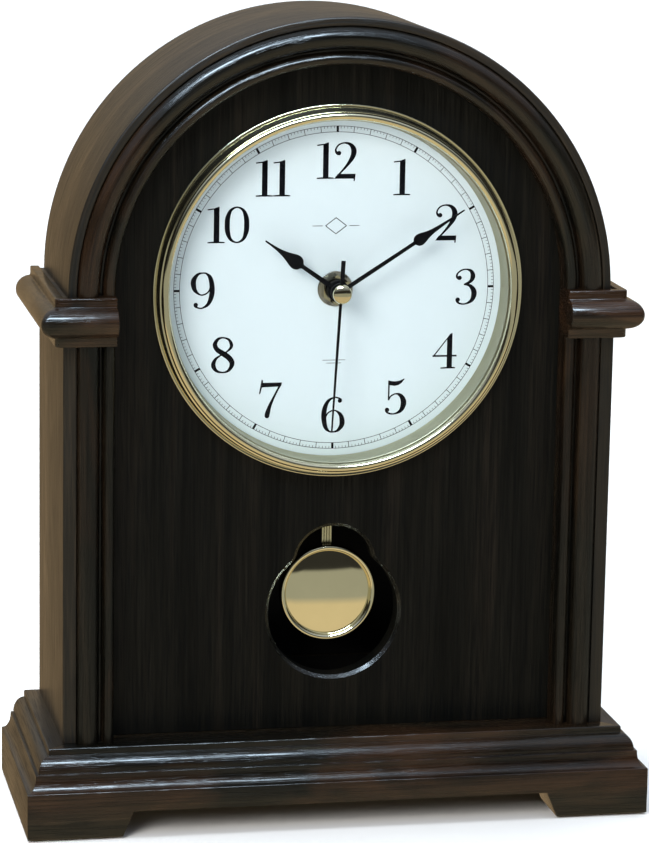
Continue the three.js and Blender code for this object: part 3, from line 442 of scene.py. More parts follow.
def cloth(name, colour):
    """Pressed felt: short fibres and a soft sheen."""
    made, tree, shader, coords = material(name)
    fibre = noise(tree, coords, 1600, 5, 0.75, 1.5)
    tint(tree, shader, fibre, [(0.3, tuple(c * 0.5 for c in colour)), (0.75, tuple(c * 1.6 for c in colour))])
    shader.inputs["Roughness"].default_value = 0.95
    shader.inputs["Sheen Weight"].default_value = 0.4
    bump(tree, shader, fibre, 0.8, 0.15)
    return made


def dial_paint():
    """Matt white lacquer with a faint blue cast."""
    made, tree, shader, coords = material("dial_paint")
    cloud = noise(tree, coords, 18, 2, 0.5)
    tint(tree, shader, cloud, [(0.3, (0.69, 0.80, 0.83)), (0.7, (0.71, 0.82, 0.85))])
    tooth = noise(tree, coords, 3500, 2, 0.5)
    roughen(tree, shader, tooth, 0.08, 0.5)
    bump(tree, shader, tooth, 0.1, 0.004)
    return made


def clear_lens():
    made, tree, shader, coords = material("clear_lens")
    dust = noise(tree, coords, 900, 3, 0.6)
    roughen(tree, shader, dust, 0.03, 0.01)
    shader.inputs["Base Color"].default_value = (0, 0, 0, 1)
    shader.inputs["Alpha"].default_value = 0.06
    shader.inputs["IOR"].default_value = 1.49
    return made


def hardboard(name):
    """Black painted board with a faint pressed texture."""
    made, tree, shader, coords = material(name)
    fibre = noise(tree, scaled(tree, coords, (1, 1, 0.6)), 700, 5, 0.7)
    cloud = noise(tree, coords, 25, 3, 0.5)
    tint(tree, shader, cloud, [(0.3, (0.008, 0.0075, 0.007)), (0.7, (0.014, 0.0125, 0.011))])
    roughen(tree, shader, fibre, 0.2, 0.5)
    bump(tree, shader, fibre, 0.35, 0.08)
    return made


WOOD_X = ebonised("ebonised_ash_across", "x", brown=0.12, gloss=0.15, shine=0.38, rust=0.6)
# the base's side runs get a browner, lighter figure than its front: partly the ash's own grain, partly a
# painted warm sheen of the lit sides
WOOD_Y_PAINTED_SHEEN = ebonised("ebonised_ash_deep_painted_sheen", "y", brown=0.8, gloss=0.3, shine=0.42, even=0.5, rust=0.5)
WOOD_Z = ebonised("ebonised_ash_upright", "z", brown=0.12, gloss=0.18, shine=0.28, rust=0.25)
WOOD_PANEL = ebonised("ebonised_ash_panel", "z", brown=0.02, gloss=0.38, place=(0.3, 0.7, 0.1), shine=0.11)
WOOD_EDGE = ebonised("ebonised_ash_edge", "z", brown=0.02, gloss=0.14, place=(0.3, 0.7, 0.1), shine=0.6)
# the side boards' figure is much browner and lighter than the front panel's: partly the ash's own grain,
# partly a painted warm sheen of the lit sides
WOOD_SIDE_PAINTED_SHEEN = ebonised(
    "ebonised_ash_side_painted_sheen", "z", brown=0.9, gloss=0.33, place=(0.1, 0.2, 0.5), shine=0.42, even=0.4
)
WOOD_ARCH = ebonised("ebonised_ash_arch", "arch", brown=0.08, gloss=0.14, shine=0.4, rust=0.3)
# the arch top takes the same browner, lighter figure: partly the ash's own grain, partly a painted warm sheen
# where the top catches the light
WOOD_SHELL_PAINTED_SHEEN = ebonised("ebonised_ash_shell_painted_sheen", "arch", brown=0.9, gloss=0.33, shine=0.42, even=0.4)
GOLD = metal("pale_gold", (0.74, 0.68, 0.48), 0.12)
GOLD_SATIN = metal("satin_gold", (0.46, 0.43, 0.30), 0.42)
GOLD_BOB = metal("polished_brass", (0.84, 0.77, 0.54), 0.06, 0.03)
GOLD_ROD = metal("drawn_brass", (0.74, 0.68, 0.46), 0.2, 0.1, "z")
NICKEL = metal("nickel", (0.62, 0.61, 0.58), 0.2, 0.08)
STEEL = metal("bright_steel", (0.50, 0.50, 0.51), 0.3, 0.15, "z")
COPPER = wound("copper_winding", (0.62, 0.25, 0.11))
HAND_BLACK = plastic("hand_lacquer", (0.0025, 0.0028, 0.004), 0.5, 1800, 0.004, shine=0.12)
INK = plastic("dial_ink", (0.003, 0.0035, 0.006), 0.6, 1800, 0.002, shine=0.08)
BLACK_PLASTIC = plastic("black_moulding", (0.016, 0.016, 0.018), 0.42)
WHITE_PLASTIC = plastic("white_acetal", (0.74, 0.72, 0.66), 0.4, 1500, 0.01)
BOARD_GREEN = plastic("solder_resist", (0.02, 0.13, 0.055), 0.35, 1500, 0.01)
CELL_BLUE = metal("cell_sleeve", (0.05, 0.13, 0.38), 0.3, 0.06)
FELT = cloth("green_felt", (0.02, 0.06, 0.032))
DIAL_WHITE = dial_paint()
LENS = clear_lens()
BOARD = hardboard("black_board_paint")


def place(obj, body, look, slot, *nodes):
    """Gives a piece its material and body, and hides the CAD nodes it stands for. The slot is not used."""
    obj.data.materials.clear()
    obj.data.materials.append(look)
    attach(obj, body)
    if nodes:
        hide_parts(*nodes)
    return obj


# ---- base
def base_section():
    """Outline of the base moulding: [outward from the top's upright edge, z]."""
    fillet = BASE_TOP - 2.8
    bead_foot = BASE_TOP - 9
    cove_top = bead_foot - 0.7
    bead_out, cove_out = STEP * 0.48, STEP * 0.6
    skirt_top = front_low[2] + 18.7
    outline = [(STEP - MOULDING_WIDTH, BASE_FOOT)]
    outline += arc(STEP - 0.6, BASE_FOOT + 0.6, 0.6, 0.6, -90, 0, 4)
    outline += arc(STEP - 0.5, skirt_top - 0.5, 0.5, 0.5, 0, 90, 4)
    outline += arc(STEP - 0.5, cove_top, STEP - 0.5 - cove_out, cove_top - skirt_top, 270, 180, 12)
    outline += [(cove_out, bead_foot - 0.15), (cove_out - 0.15, bead_foot)]
    outline += [(bead_out - 0.05, bead_foot)]
    outline += arc(0, bead_foot + 0.25, bead_out, fillet - bead_foot - 0.25, 3, 88, 12)
    outline += [(0, fillet)]
    outline += arc(-0.55, BASE_TOP - 0.55, 0.55, 0.55, 0, 90, 4)
    outline += [(STEP - MOULDING_WIDTH, BASE_TOP)]
    return outline


def make_base():
    section = base_section()
    joint = 0.04  # the mitres are glued, so only a hairline shows

    front = lofted("base_front", [
        [(side * (TOP_HALF + o - joint), TOP_FRONT_Y - o, z) for o, z in section] for side in (-1, 1)
    ])
    foot_half, splay, arch_top = 88.0, 4.3, BASE_FOOT + 10.2
    archway = [
        (-foot_half, BASE_FOOT - 2),
        (foot_half, BASE_FOOT - 2),
        (foot_half, BASE_FOOT),
        (foot_half - splay, arch_top),
        (splay - foot_half, arch_top),
        (-foot_half, BASE_FOOT),
    ]
    cut(front, prism("cutter", archway, FRONT_Y - 2, FRONT_Y + MOULDING_WIDTH + 2))
    soften(front, 0.35)
    place(front, "case", WOOD_X, "ebonised_wood", "base_front_moulding")

    for name, side in SIDES:
        mitred = [(side * (TOP_HALF + o), TOP_FRONT_Y - o + joint, z) for o, z in section]
        square = [(side * (TOP_HALF + o), BACK_Y, z) for o, z in section]
        run = lofted("base_" + name, [mitred, square])
        soften(run, 0.35)
        place(run, "case", WOOD_Y_PAINTED_SHEEN, "ebonised_wood", f"base_{name}_moulding")


# ---- case
def side_plan(side):
    lip = LINER + 0.25
    plan = [
        (CASE_HALF, CASE_FRONT_Y, 0.9),
        (CASE_HALF, BACK_Y, 0.5),
        (CASE_HALF - WALL, BACK_Y, 0.3),
        (CASE_HALF - WALL, REBATE_Y, 0),
        (lip, REBATE_Y, 0),
        (lip, CASE_FRONT_Y, 0.4),
    ]
    return [(side * x, y) for x, y in filleted(plan)]


def make_case():
    for name, side in SIDES:
        plan = side_plan(side)
        board = lofted(name + "_side", [[(x, y, z) for x, y in plan] for z in (BASE_TOP + 0.05, SPRING_Z)])
        smooth(board)
        place(board, "case", WOOD_SIDE_PAINTED_SHEEN, "ebonised_wood", name + "_side_panel")
    section = [
        (ARCH_RADIUS, CASE_FRONT_Y, 0.9),
        (ARCH_RADIUS, BACK_Y, 0.5),
        (ARCH_RADIUS - WALL, BACK_Y, 0.3),
        (ARCH_RADIUS - WALL, REBATE_Y, 0),
        (LINER + 0.25, REBATE_Y, 0),
        (LINER + 0.25, CASE_FRONT_Y, 0.4),
    ]
    arch = revolve_arch("arch_top", filleted(section), SPRING_Z + 0.05)
    smooth(arch)
    place(arch, "case", WOOD_SHELL_PAINTED_SHEEN, "ebonised_wood", "arch_shell")


def reed_section():
    """Outline of the pilasters and the arch moulding: [distance from the middle, y]."""
    proud_y = reed_low[1]
    root = CASE_FRONT_Y + 1.5
    reed, groove, bead = 8.7, 1.2, 4.8
    reed_inner = LINER - reed
    bead_outer = reed_inner - groove
    bead_y = CASE_FRONT_Y - 1.5
    seat = PANEL_Y - 0.1
    outline = [(INNER, seat), (LINER + 0.15, seat), (LINER + 0.15, root)]
    outline += arc(LINER + 0.15 - (reed + 0.15) / 2, root, (reed + 0.15) / 2, proud_y - root, 8, 172, 18)
    outline += [(reed_inner - 0.05, root + 0.8), (reed_inner - 0.3, root + 1.1)]
    outline += [(bead_outer + 0.3, root + 1.1), (bead_outer + 0.05, root + 0.8)]
    outline += arc(bead_outer - bead / 2, root, bead / 2, bead_y - root, 8, 172, 14)
    return outline


def make_front_mouldings():
    section = reed_section()
    for name, side in SIDES:
        heights = (BASE_TOP + 0.05, CAPITAL_FOOT - 0.05)
        run = lofted(name + "_reeded_pilaster", [[(side * x, y, z) for x, y in section] for z in heights])
        smooth(run, 40)
        place(run, "case", WOOD_Z, "ebonised_wood", name + "_pilaster")
    arch = revolve_arch("reeded_arch", section, CAPITAL_TOP + 0.05)
    smooth(arch, 40)
    place(arch, "case", WOOD_ARCH, "ebonised_wood", "arch_moulding")


def capital_section():
    """Outline of a capital: [outward from the case's side, z, how far the corner is rounded]."""
    fillet, proud = 3.7, 5.9
    low, high = CAPITAL_FOOT + fillet, CAPITAL_TOP - fillet
    edge = 0.5
    outline = [(0.1, CAPITAL_FOOT)]
    outline += arc(fillet - edge, CAPITAL_FOOT + edge, edge, edge, -90, 0, 3)
    outline += [(fillet, low - 0.15)]
    outline += arc(fillet, (low + high) / 2, proud, (high - low) / 2, -86, 86, 18)
    outline += [(fillet, high + 0.15)]
    outline += arc(fillet - edge, CAPITAL_TOP - edge, edge, edge, 0, 90, 3)
    outline += [(0.1, CAPITAL_TOP)]
    return outline


def capital_corner(side, outward, turn, line_y):
    """A point on the capital's rounded outer corner, turn going from 0 at the front to 1 at the side."""
    rounding = min(outward, 2.4)
    straight = outward - rounding
    a = turn * math.pi / 2
    x = CASE_HALF + straight + rounding * math.sin(a)
    y = line_y - straight - rounding * math.cos(a)
    return side * x, y


def make_capitals():
    section = capital_section()
    roll_reach = 9.6
    line_y = capital_low[1] + roll_reach  # the line that the front run's roll stands out of
    for name, side in SIDES:
        rings = [[(side * INNER, line_y - o, z) for o, z in section]]
        for k in range(TURNS + 1):
            rings.append([(*capital_corner(side, o, k / TURNS, line_y), z) for o, z in section])
        rings.append([(side * (CASE_HALF + o), BACK_Y, z) for o, z in section])
        made = lofted(name + "_capital_moulding", rings)
        soften(made, 0.5)
        near, far = side * INNER, side * (LINER + 0.1)
        block = [(near, CAPITAL_FOOT), (far, CAPITAL_FOOT), (far, CAPITAL_TOP), (near, CAPITAL_TOP)]
        filler = prism("filler", block, line_y - 0.5, PANEL_Y - 0.1)
        join(made, filler)
        smooth(made)
        place(made, "case", WOOD_X, "ebonised_wood", name + "_capital")


def join(obj, *others):
    """Puts the other objects' meshes into obj."""
    bm = bmesh.new()
    bm.from_mesh(obj.data)
    for other in others:
        bm.from_mesh(other.data)
        bpy.data.objects.remove(other)
    bm.to_mesh(obj.data)
    bm.free()


# ---- front panel
def keyhole(grow):
    """The pendulum's aperture, larger by grow all round: a circle, a smaller one above it, and fillets."""
    margin, drop, throat, rise, fillet = 6.7, 5.0, 15.7, 19.4, 6.0
    radius = BOB_RADIUS + margin
    z0 = BOB_Z - drop
    reach, throat_reach = radius + fillet, throat + fillet
    up = (rise**2 + reach**2 - throat_reach**2) / (2 * rise)
    side = math.sqrt(reach**2 - up**2)
    lower = math.degrees(math.atan2(up, side))
    upper = math.degrees(math.atan2(up - rise, side))
    outline = arc(0, z0 + rise, throat + grow, throat + grow, upper, 180 - upper, 40)
    outline += arc(-side, z0 + up, fillet - grow, fillet - grow, -upper, -lower, 8)[1:-1]
    outline += arc(0, z0, radius + grow, radius + grow, 180 - lower, 360 + lower, 90)
    outline += arc(side, z0 + up, fillet - grow, fillet - grow, 180 + lower, 180 + upper, 8)[1:-1]
    return outline


def make_front_panel():
    back_y = panel_high[1]
    half = LINER + 0.1
    panel = prism("panel_board", arched(half, half, BASE_TOP + 0.05, SPRING_Z), PANEL_Y, back_y)
    rounding = 1.3
    rings = []
    for k in range(TURNS + 1):
        a = math.pi / 2 * k / TURNS
        depth = rounding * math.sin(a)
        grow = rounding * (1 - math.sin(a))
        rings.append((PANEL_Y + depth, grow))
    stack = [(PANEL_Y - 2, rounding)] + rings + [(back_y + 2, 0.0)]
    cut(panel, lofted("cutter", [[(x, y, z) for x, z in keyhole(grow)] for y, grow in stack]))
    hole = DIAL_RADIUS + 1.3
    cut(panel, prism("cutter", arc(0, AXIS_Z, hole, hole, 0, 357.5, 143), PANEL_Y - 2, back_y + 2))
    smooth(panel, 25)
    place(panel, "case", WOOD_PANEL, "ebonised_wood", "front_panel")
    panel.data.materials.append(WOOD_EDGE)
    for face in panel.data.polygons:
        if 0.02 < abs(face.normal.y) < 0.98:
            face.material_index = 1


# ---- dial and bezel
def make_bezel():
    seat = PANEL_Y - 0.05
    front = bezel_low[1]
    cone_top = BEZEL_RADIUS - 2.7
    ring_inner = cone_top - 3.2
    wall = ring_inner + 0.9
    section = [(DIAL_RADIUS + 1, DIAL_Y - 0.2), (DIAL_RADIUS + 1, seat), (BEZEL_RADIUS - 0.2, seat)]
    section += arc(BEZEL_RADIUS - 0.45, seat - 0.45, 0.45, 0.45, 0, -90, 5)
    section += [(BEZEL_RADIUS - 0.9, seat - 0.75)]
    section += [(cone_top + 0.525, front + 1.8031)]
    section += arc(cone_top - 1.6, front + 1.7, 1.6, 1.7, 0, -180, 14)
    section += [(wall, front + 1.9), (wall, DIAL_Y - 0.2)]
    bezel = lathe("bezel_ring", section, AXIS_Z)
    smooth(bezel, 40)
    place(bezel, "case", GOLD, "gold", "bezel")

    lens_radius = lens_high[0]
    lens_back = lens_high[1]
    dome = 8.0
    thickness = 1.6
    edge_y = lens_back - thickness
    sphere = (lens_radius**2 + dome**2) / (2 * dome)
    half = math.degrees(math.asin(lens_radius / sphere))
    outer = arc(0, edge_y - dome + sphere, sphere, sphere, -90, -90 + half, 16)
    inner = [(r, y + thickness) for r, y in reversed(outer)]
    outer[0] = (0.0, outer[0][1])
    inner[-1] = (0.0, inner[-1][1])
    lens = lathe("domed_lens", outer + inner, AXIS_Z, steps=96)
    smooth(lens, 40)
    place(lens, "case", LENS, "lens_glass", "lens")

    top_y, foot_y = surround_low[1], surround_high[1]
    outer_r = surround_high[0]
    section = [
        (outer_r, foot_y),
        (outer_r, top_y),
        (outer_r - 0.8, top_y),
        (outer_r - 1.0, top_y + 0.2),
        (DIAL_RADIUS - 1.7, foot_y - 0.3),
        (DIAL_RADIUS - 1.9, foot_y),
    ]
    surround = lathe("dial_surround_ring", section, AXIS_Z)
    smooth(surround, 40)
    place(surround, "case", GOLD_SATIN, "gold", "dial_surround")

    back_y = dial_high[1]
    bore = 4.3
    section = [(bore, DIAL_Y), (DIAL_RADIUS, DIAL_Y), (DIAL_RADIUS, back_y), (bore, back_y)]
    dial = lathe("dial_disc", section, AXIS_Z)
    smooth(dial, 40)
    place(dial, "case", DIAL_WHITE, "dial_white", "dial_plate")


PRINT_FRONT = DIAL_Y - 0.032  # the printed marks stand this far out of the dial
PRINT_BACK = DIAL_Y - 0.004  # and start a hair in front of it
LAYER = 0.0015  # between marks that cross each other


def print_strip(bm, points, layer=0):
    """A thin closed plate on the dial. Points are [x, z] from the hands' axis; layers keep faces apart."""
    depths = (PRINT_FRONT - LAYER * layer, PRINT_BACK)
    loft(bm, [[(x, y, AXIS_Z + z) for x, z in points] for y in depths])


def ring_strip(bm, outer, inner, steps=240):
    """A printed circle."""
    section = [(outer, PRINT_BACK), (outer, PRINT_FRONT), (inner, PRINT_FRONT), (inner, PRINT_BACK)]
    loft(bm, turned_rings(section, AXIS_Z, steps=steps), caps=False)


def polar_bar(bm, degrees, outer, inner, half):
    a = math.radians(degrees)
    along, across = Vector((math.sin(a), math.cos(a))), Vector((math.cos(a), -math.sin(a)))
    corners = [along * outer - across * half, along * outer + across * half]
    corners += [along * inner + across * half, along * inner - across * half]
    print_strip(bm, [tuple(c) for c in corners], 1)


TRACK = 64.4  # outer radius of the minute track
TRACK_FOOT = TRACK - 2.5
TRACK_LINE = 0.2


def make_minute_track():
    bm = bmesh.new()
    ring_strip(bm, TRACK, TRACK - TRACK_LINE)
    ring_strip(bm, TRACK_FOOT + TRACK_LINE, TRACK_FOOT)
    for fifth in range(300):
        degrees = fifth * 1.2
        if fifth % 25 == 0:
            polar_bar(bm, degrees, TRACK, TRACK_FOOT, 0.46)
        elif fifth % 5 == 0:
            polar_bar(bm, degrees, TRACK, TRACK_FOOT, 0.12)
        else:
            polar_bar(bm, degrees, TRACK, TRACK - 1.0, 0.085)
    track = to_object("minute_track", bm, weld=True)
    place(track, "case", INK, "black_metal")


# ---- numerals
# Strokes are (x, y, width), balls (x, y, radius) and plates (x, y), in thousandths of a numeral's
# height, from its lower left corner. The nine is the six turned upside down.
STROKES = {
    "0": [
        [(327, 985, 36), (155, 900, 75), (72, 700, 125), (58, 500, 135), (72, 300, 125), (155, 100, 75),
         (327, 15, 36), (499, 100, 75), (582, 300, 125), (596, 500, 135), (582, 700, 125), (499, 900, 75),
         (327, 985, 36)],
    ],
    "2": [
        [(120, 675, 70), (55, 720, 60), (35, 810, 40), (120, 935, 36), (280, 985, 36), (440, 940, 85),
         (535, 800, 140), (515, 620, 130), (380, 400, 75), (200, 190, 45), (50, 30, 45)],
    ],
    "3": [
        [(120, 720, 70), (50, 775, 55), (65, 870, 40), (180, 962, 36), (320, 985, 36), (455, 930, 90),
         (505, 790, 130), (440, 650, 85), (270, 565, 34)],
        [(250, 567, 34), (410, 535, 75), (525, 410, 135), (545, 260, 145), (470, 100, 90), (300, 17, 36),
         (140, 30, 45), (55, 105, 50), (100, 170, 50)],
    ],
    "5": [
        [(128, 955, 38), (126, 680, 36), (124, 400, 36)],
        [(124, 410, 30), (190, 520, 34), (330, 583, 36), (460, 535, 95), (540, 410, 140), (548, 270, 148),
         (470, 100, 95), (300, 17, 36), (140, 30, 45), (55, 105, 50), (100, 165, 50)],
    ],
    "6": [
        [(520, 885, 70), (545, 930, 40), (460, 975, 36), (340, 985, 36), (180, 885, 85), (85, 670, 128),
         (65, 420, 135), (115, 160, 110), (220, 35, 50), (330, 15, 34), (460, 50, 70), (570, 190, 125),
         (585, 330, 138), (540, 490, 100), (420, 603, 40), (310, 618, 34), (180, 550, 34), (110, 420, 34)],
    ],
    "7": [
        [(610, 930, 50), (450, 620, 50), (320, 340, 85), (245, 100, 130), (235, 20, 120)],
    ],
    "8": [
        [(330, 985, 36), (190, 945, 75), (105, 800, 115), (170, 655, 125), (330, 545, 140),
         (500, 420, 145), (588, 260, 130), (500, 75, 75), (340, 15, 36), (160, 60, 75), (65, 210, 120),
         (120, 380, 75), (260, 490, 36), (430, 590, 36), (540, 690, 70), (565, 790, 90), (490, 930, 60),
         (330, 985, 36)],
    ],
}
BALLS = {
    "2": [(125, 705, 62)],
    "3": [(125, 750, 62), (85, 135, 65)],
    "5": [(85, 130, 65)],
    "6": [(515, 895, 62)],
    "7": [(235, 35, 67)],
}
PLATES = {
    "1": [
        [(170, 20), (325, 20), (325, 1000), (295, 1000), (170, 955)],
        [(0, 905), (0, 940), (180, 962), (180, 925)],
        [(0, 0), (475, 0), (475, 32), (360, 45), (130, 45), (0, 32)],
    ],
    "2": [
        [(0, 0), (545, 0), (545, -70), (580, -70), (600, 135), (100, 135), (60, 80)],
    ],
    "4": [
        [(410, 20), (560, 20), (560, 1000), (530, 1000), (410, 845)],
        [(0, 335), (690, 335), (690, 385), (0, 385)],
        [(0, 345), (45, 345), (535, 985), (500, 985)],
        [(235, 0), (655, 0), (655, 32), (600, 45), (360, 45), (235, 32)],
    ],
    "5": [
        [(110, 970), (200, 945), (300, 935), (420, 950), (560, 1010), (575, 1000), (490, 890), (400, 830),
         (280, 805), (144, 830), (110, 860)],
    ],
    "7": [
        [(0, 655), (35, 650), (85, 840), (620, 860), (645, 970), (115, 970), (105, 1050), (70, 1055)],
    ],
}
BOLDER = 0.008  # added to every stroke's width, in ems
ADVANCE = {"1": 0.485}
NUMERAL_HEIGHT = 14.3
NUMERAL_SHIFT = {1: 0.8, 3: 0.4, 10: 1.6}  # to the right, where two narrow figures would look crowded


def flowing(points, per_span=7):
    """Points on a smooth curve through the given ones (Catmull-Rom), width included."""
    padded = [points[0], *points, points[-1]]
    if points[0] == points[-1]:
        padded = [points[-2], *points, points[1]]
    made = []
    for a, b, c, d in zip(padded, padded[1:], padded[2:], padded[3:]):
        for k in range(per_span):
            t = k / per_span
            made.append(tuple(
                0.5 * (2 * q + (r - p) * t + (2 * p - 5 * q + 4 * r - s) * t**2
                       + (3 * q - p - 3 * r + s) * t**3)
                for p, q, r, s in zip(a, b, c, d)
            ))
    made.append(points[-1])
    return made


def ribbon(points):
    """Left and right edge points of a stroke."""
    left, right = [], []
    for i, (x, y, w) in enumerate(points):
        before, after = points[max(i - 1, 0)], points[min(i + 1, len(points) - 1)]
        if points[0] == points[-1] and i in (0, len(points) - 1):
            before, after = points[-2], points[1]
        along = Vector((after[0] - before[0], after[1] - before[1])).normalized()
        across = Vector((-along.y, along.x)) * (w + BOLDER) / 2
        left.append((x + across.x, y + across.y))
        right.append((x - across.x, y - across.y))
    return left, right


def stroke_strip(bm, left, right, to_dial, layer):
    """A closed thin plate between two edge lines."""
    front = PRINT_FRONT - LAYER * layer
    rings = []
    for l, r in zip(left, right):
        (lx, lz), (rx, rz) = to_dial(l), to_dial(r)
        rings.append([(lx, front, lz), (rx, front, rz), (rx, PRINT_BACK, rz), (lx, PRINT_BACK, lz)])
    loft(bm, rings)


def ems(points):
    return [tuple(value / 1000 for value in point) for point in points]


def draw_glyph(bm, glyph, to_dial, layer):
    """One numeral's figure, each of its pieces on a layer of its own."""
    for points in STROKES.get(glyph, []):
        left, right = ribbon(flowing(ems(points)))
        stroke_strip(bm, left, right, to_dial, layer)
        layer += 1
    for x, y, r in ems(BALLS.get(glyph, [])):
        circle = [to_dial(p) for p in arc(x, y, r, r, 0, 345, 23)]
        print_strip(bm, [(px, pz - AXIS_Z) for px, pz in circle], layer)
        layer += 1
    for outline in PLATES.get(glyph, []):
        placed = [to_dial(p) for p in ems(outline)]
        print_strip(bm, [(px, pz - AXIS_Z) for px, pz in placed], layer)
        layer += 1
    return layer


def numeral_width(text):
    return sum(ADVANCE.get(c, 0.5) for c in text[:-1]) + (0.475 if text[-1] == "1" else 0.64)


def make_numerals():
    for number in range(1, 13):
        text = str(number)
        angle = math.radians(number * 30)
        reach = 50.7 + 2.1 * abs(math.sin(angle)) ** 6
        middle = reach * math.sin(angle) + NUMERAL_SHIFT.get(number, 0)
        left = middle - numeral_width(text) * NUMERAL_HEIGHT / 2
        foot = AXIS_Z + reach * math.cos(angle) - NUMERAL_HEIGHT / 2
        bm = bmesh.new()
        layer = 0
        pen = 0.0
        for glyph in text:
            turned = glyph == "9"

            def to_dial(p, pen=pen, turned=turned):
                x, y = (0.645 - p[0], 1.0 - p[1]) if turned else p
                return left + (pen + x) * NUMERAL_HEIGHT, foot + y * NUMERAL_HEIGHT

            layer = draw_glyph(bm, "6" if turned else glyph, to_dial, layer)
            pen += ADVANCE.get(glyph, 0.5)
        made = to_object(f"numeral_{number}", bm, weld=False)
        place(made, "case", INK, "black_metal")


def make_dial_ornament():
    """A small lozenge between two rules under the twelve, and a short pair of rules above the six."""
    bm = bmesh.new()
    z = 25.0
    half_long, half_high, line = 4.2, 3.2, 0.16
    corners = [(-half_long, z), (0, z + half_high), (half_long, z), (0, z - half_high)]
    for k, (a, b) in enumerate(zip(corners, corners[1:] + corners[:1])):
        a, b = Vector(a), Vector(b)
        across = Vector((-(b - a).y, (b - a).x)).normalized() * line
        print_strip(bm, [tuple(c) for c in (a + across, b + across, b - across, a - across)], k)
    for side in (-1, 1):
        start, end = side * (half_long + 1.2), side * (half_long + 5.2)
        print_strip(bm, [(start, z + 0.14), (end, z + 0.10), (end, z - 0.10), (start, z - 0.14)], 5)
    for level, half in ((-28.6, 4.6), (-29.8, 3.0)):
        low, high = level - 0.1, level + 0.1
        print_strip(bm, [(-half, high), (half, high), (half, low), (-half, low)], 6)
    ornament = to_object("dial_ornament", bm, weld=False)
    place(ornament, "case", INK, "black_metal")


# ---- hands
def hand_blade(name, stations, degrees, y, thickness):
    """A flat hand. Stations are (reach, half width) along its length, smoothed between them."""
    line = flowing([(reach, 0.0, 2 * half) for reach, half in stations], 6)
    a = math.radians(degrees)
    sin, cos = math.sin(a), math.cos(a)

    def placed(reach, across):
        return across * cos + reach * sin, AXIS_Z + reach * cos - across * sin

    rings = []
    for reach, _, width in line:
        half = max(width / 2, 0.08)
        (lx, lz), (rx, rz) = placed(reach, -half), placed(reach, half)
        rings.append([(lx, y, lz), (rx, y, rz), (rx, y + thickness, rz), (lx, y + thickness, lz)])
    return lofted(name, rings)


def hub(name, outer, bore, y0, y1, steps=48):
    edge = 0.15
    section = [(bore, y1), (bore, y0 + edge), (bore + edge, y0), (outer - edge, y0), (outer, y0 + edge)]
    section += [(outer, y1)]
    return lathe(name, section, AXIS_Z, steps=steps)


HAND_ANGLES = {"hour_hand": 304.76, "minute_hand": 57.05, "second_hand": 183.0}


def make_hands():
    hour_y, minute_y, second_y = (span(n)[1][1] for n in ("hour_hand", "minute_hand", "second_hand"))
    hour_stations = [
        (0, 1.0), (10, 0.92), (17.0, 0.85), (18.0, 1.15), (18.8, 2.2), (20.3, 2.85), (22.0, 2.7),
        (24.2, 1.95), (26.5, 1.25), (29.5, 0.72), (33.0, 0.42), (35.4, 0.34), (35.7, 0.2),
    ]
    minute_stations = [
        (0, 0.85), (18, 0.78), (34.6, 0.7), (35.4, 1.0), (36.1, 1.85), (37.5, 2.35), (39.2, 2.1),
        (41.4, 1.4), (44.0, 0.92), (48.0, 0.6), (53.5, 0.36), (58.4, 0.26), (58.8, 0.12),
    ]
    second_stations = [(-13.0, 0.85), (-6, 0.8), (0, 0.62), (25, 0.5), (55.4, 0.3)]
    rows = [
        ("hour_hand", "hour", hour_stations, hour_y - 1.0, 0.5, 4.3, 2.6),
        ("minute_hand", "minute", minute_stations, minute_y - 1.0, 0.5, 3.6, 1.6),
        ("second_hand", "second", second_stations, second_y - 0.9, 0.4, 1.6, 0.7),
    ]
    for body, label, stations, y, thickness, outer, bore in rows:
        blade = hand_blade(label + "_pointer", stations, HAND_ANGLES[body], y, thickness)
        smooth(blade, 30)
        place(blade, body, HAND_BLACK, "black_metal", body)
        ring = hub(label + "_hub", outer, bore, y - 0.35, y + thickness + 0.45)
        smooth(ring, 30)
        place(ring, body, HAND_BLACK, "black_metal")

    back_y, front_y = cap_high[1], cap_low[1]
    r = cap_high[0]
    section = [(0, back_y), (r - 0.3, back_y), (r, back_y - 0.3), (r, back_y - 0.9)]
    dome = arc(0, back_y - 0.9, r, back_y - 0.9 - front_y, 0, 90, 10)
    section += [(x, 2 * (back_y - 0.9) - y) for x, y in dome]
    section[-1] = (0, front_y)
    cap = lathe("second_hand_button", section, AXIS_Z, steps=64)
    smooth(cap, 45)
    place(cap, "second_hand", GOLD_BOB, "gold", "second_hand_cap")

    wy0, wy1 = washer_low[1], washer_high[1]
    wr = washer_high[0]
    section = [(4.3, wy1), (4.3, wy0), (wr - 0.25, wy0), (wr, wy0 + 0.25), (wr, wy1)]
    washer = lathe("round_washer", section, AXIS_Z, steps=96)
    smooth(washer, 40)
    place(washer, "case", NICKEL, "nickel", "dial_washer")


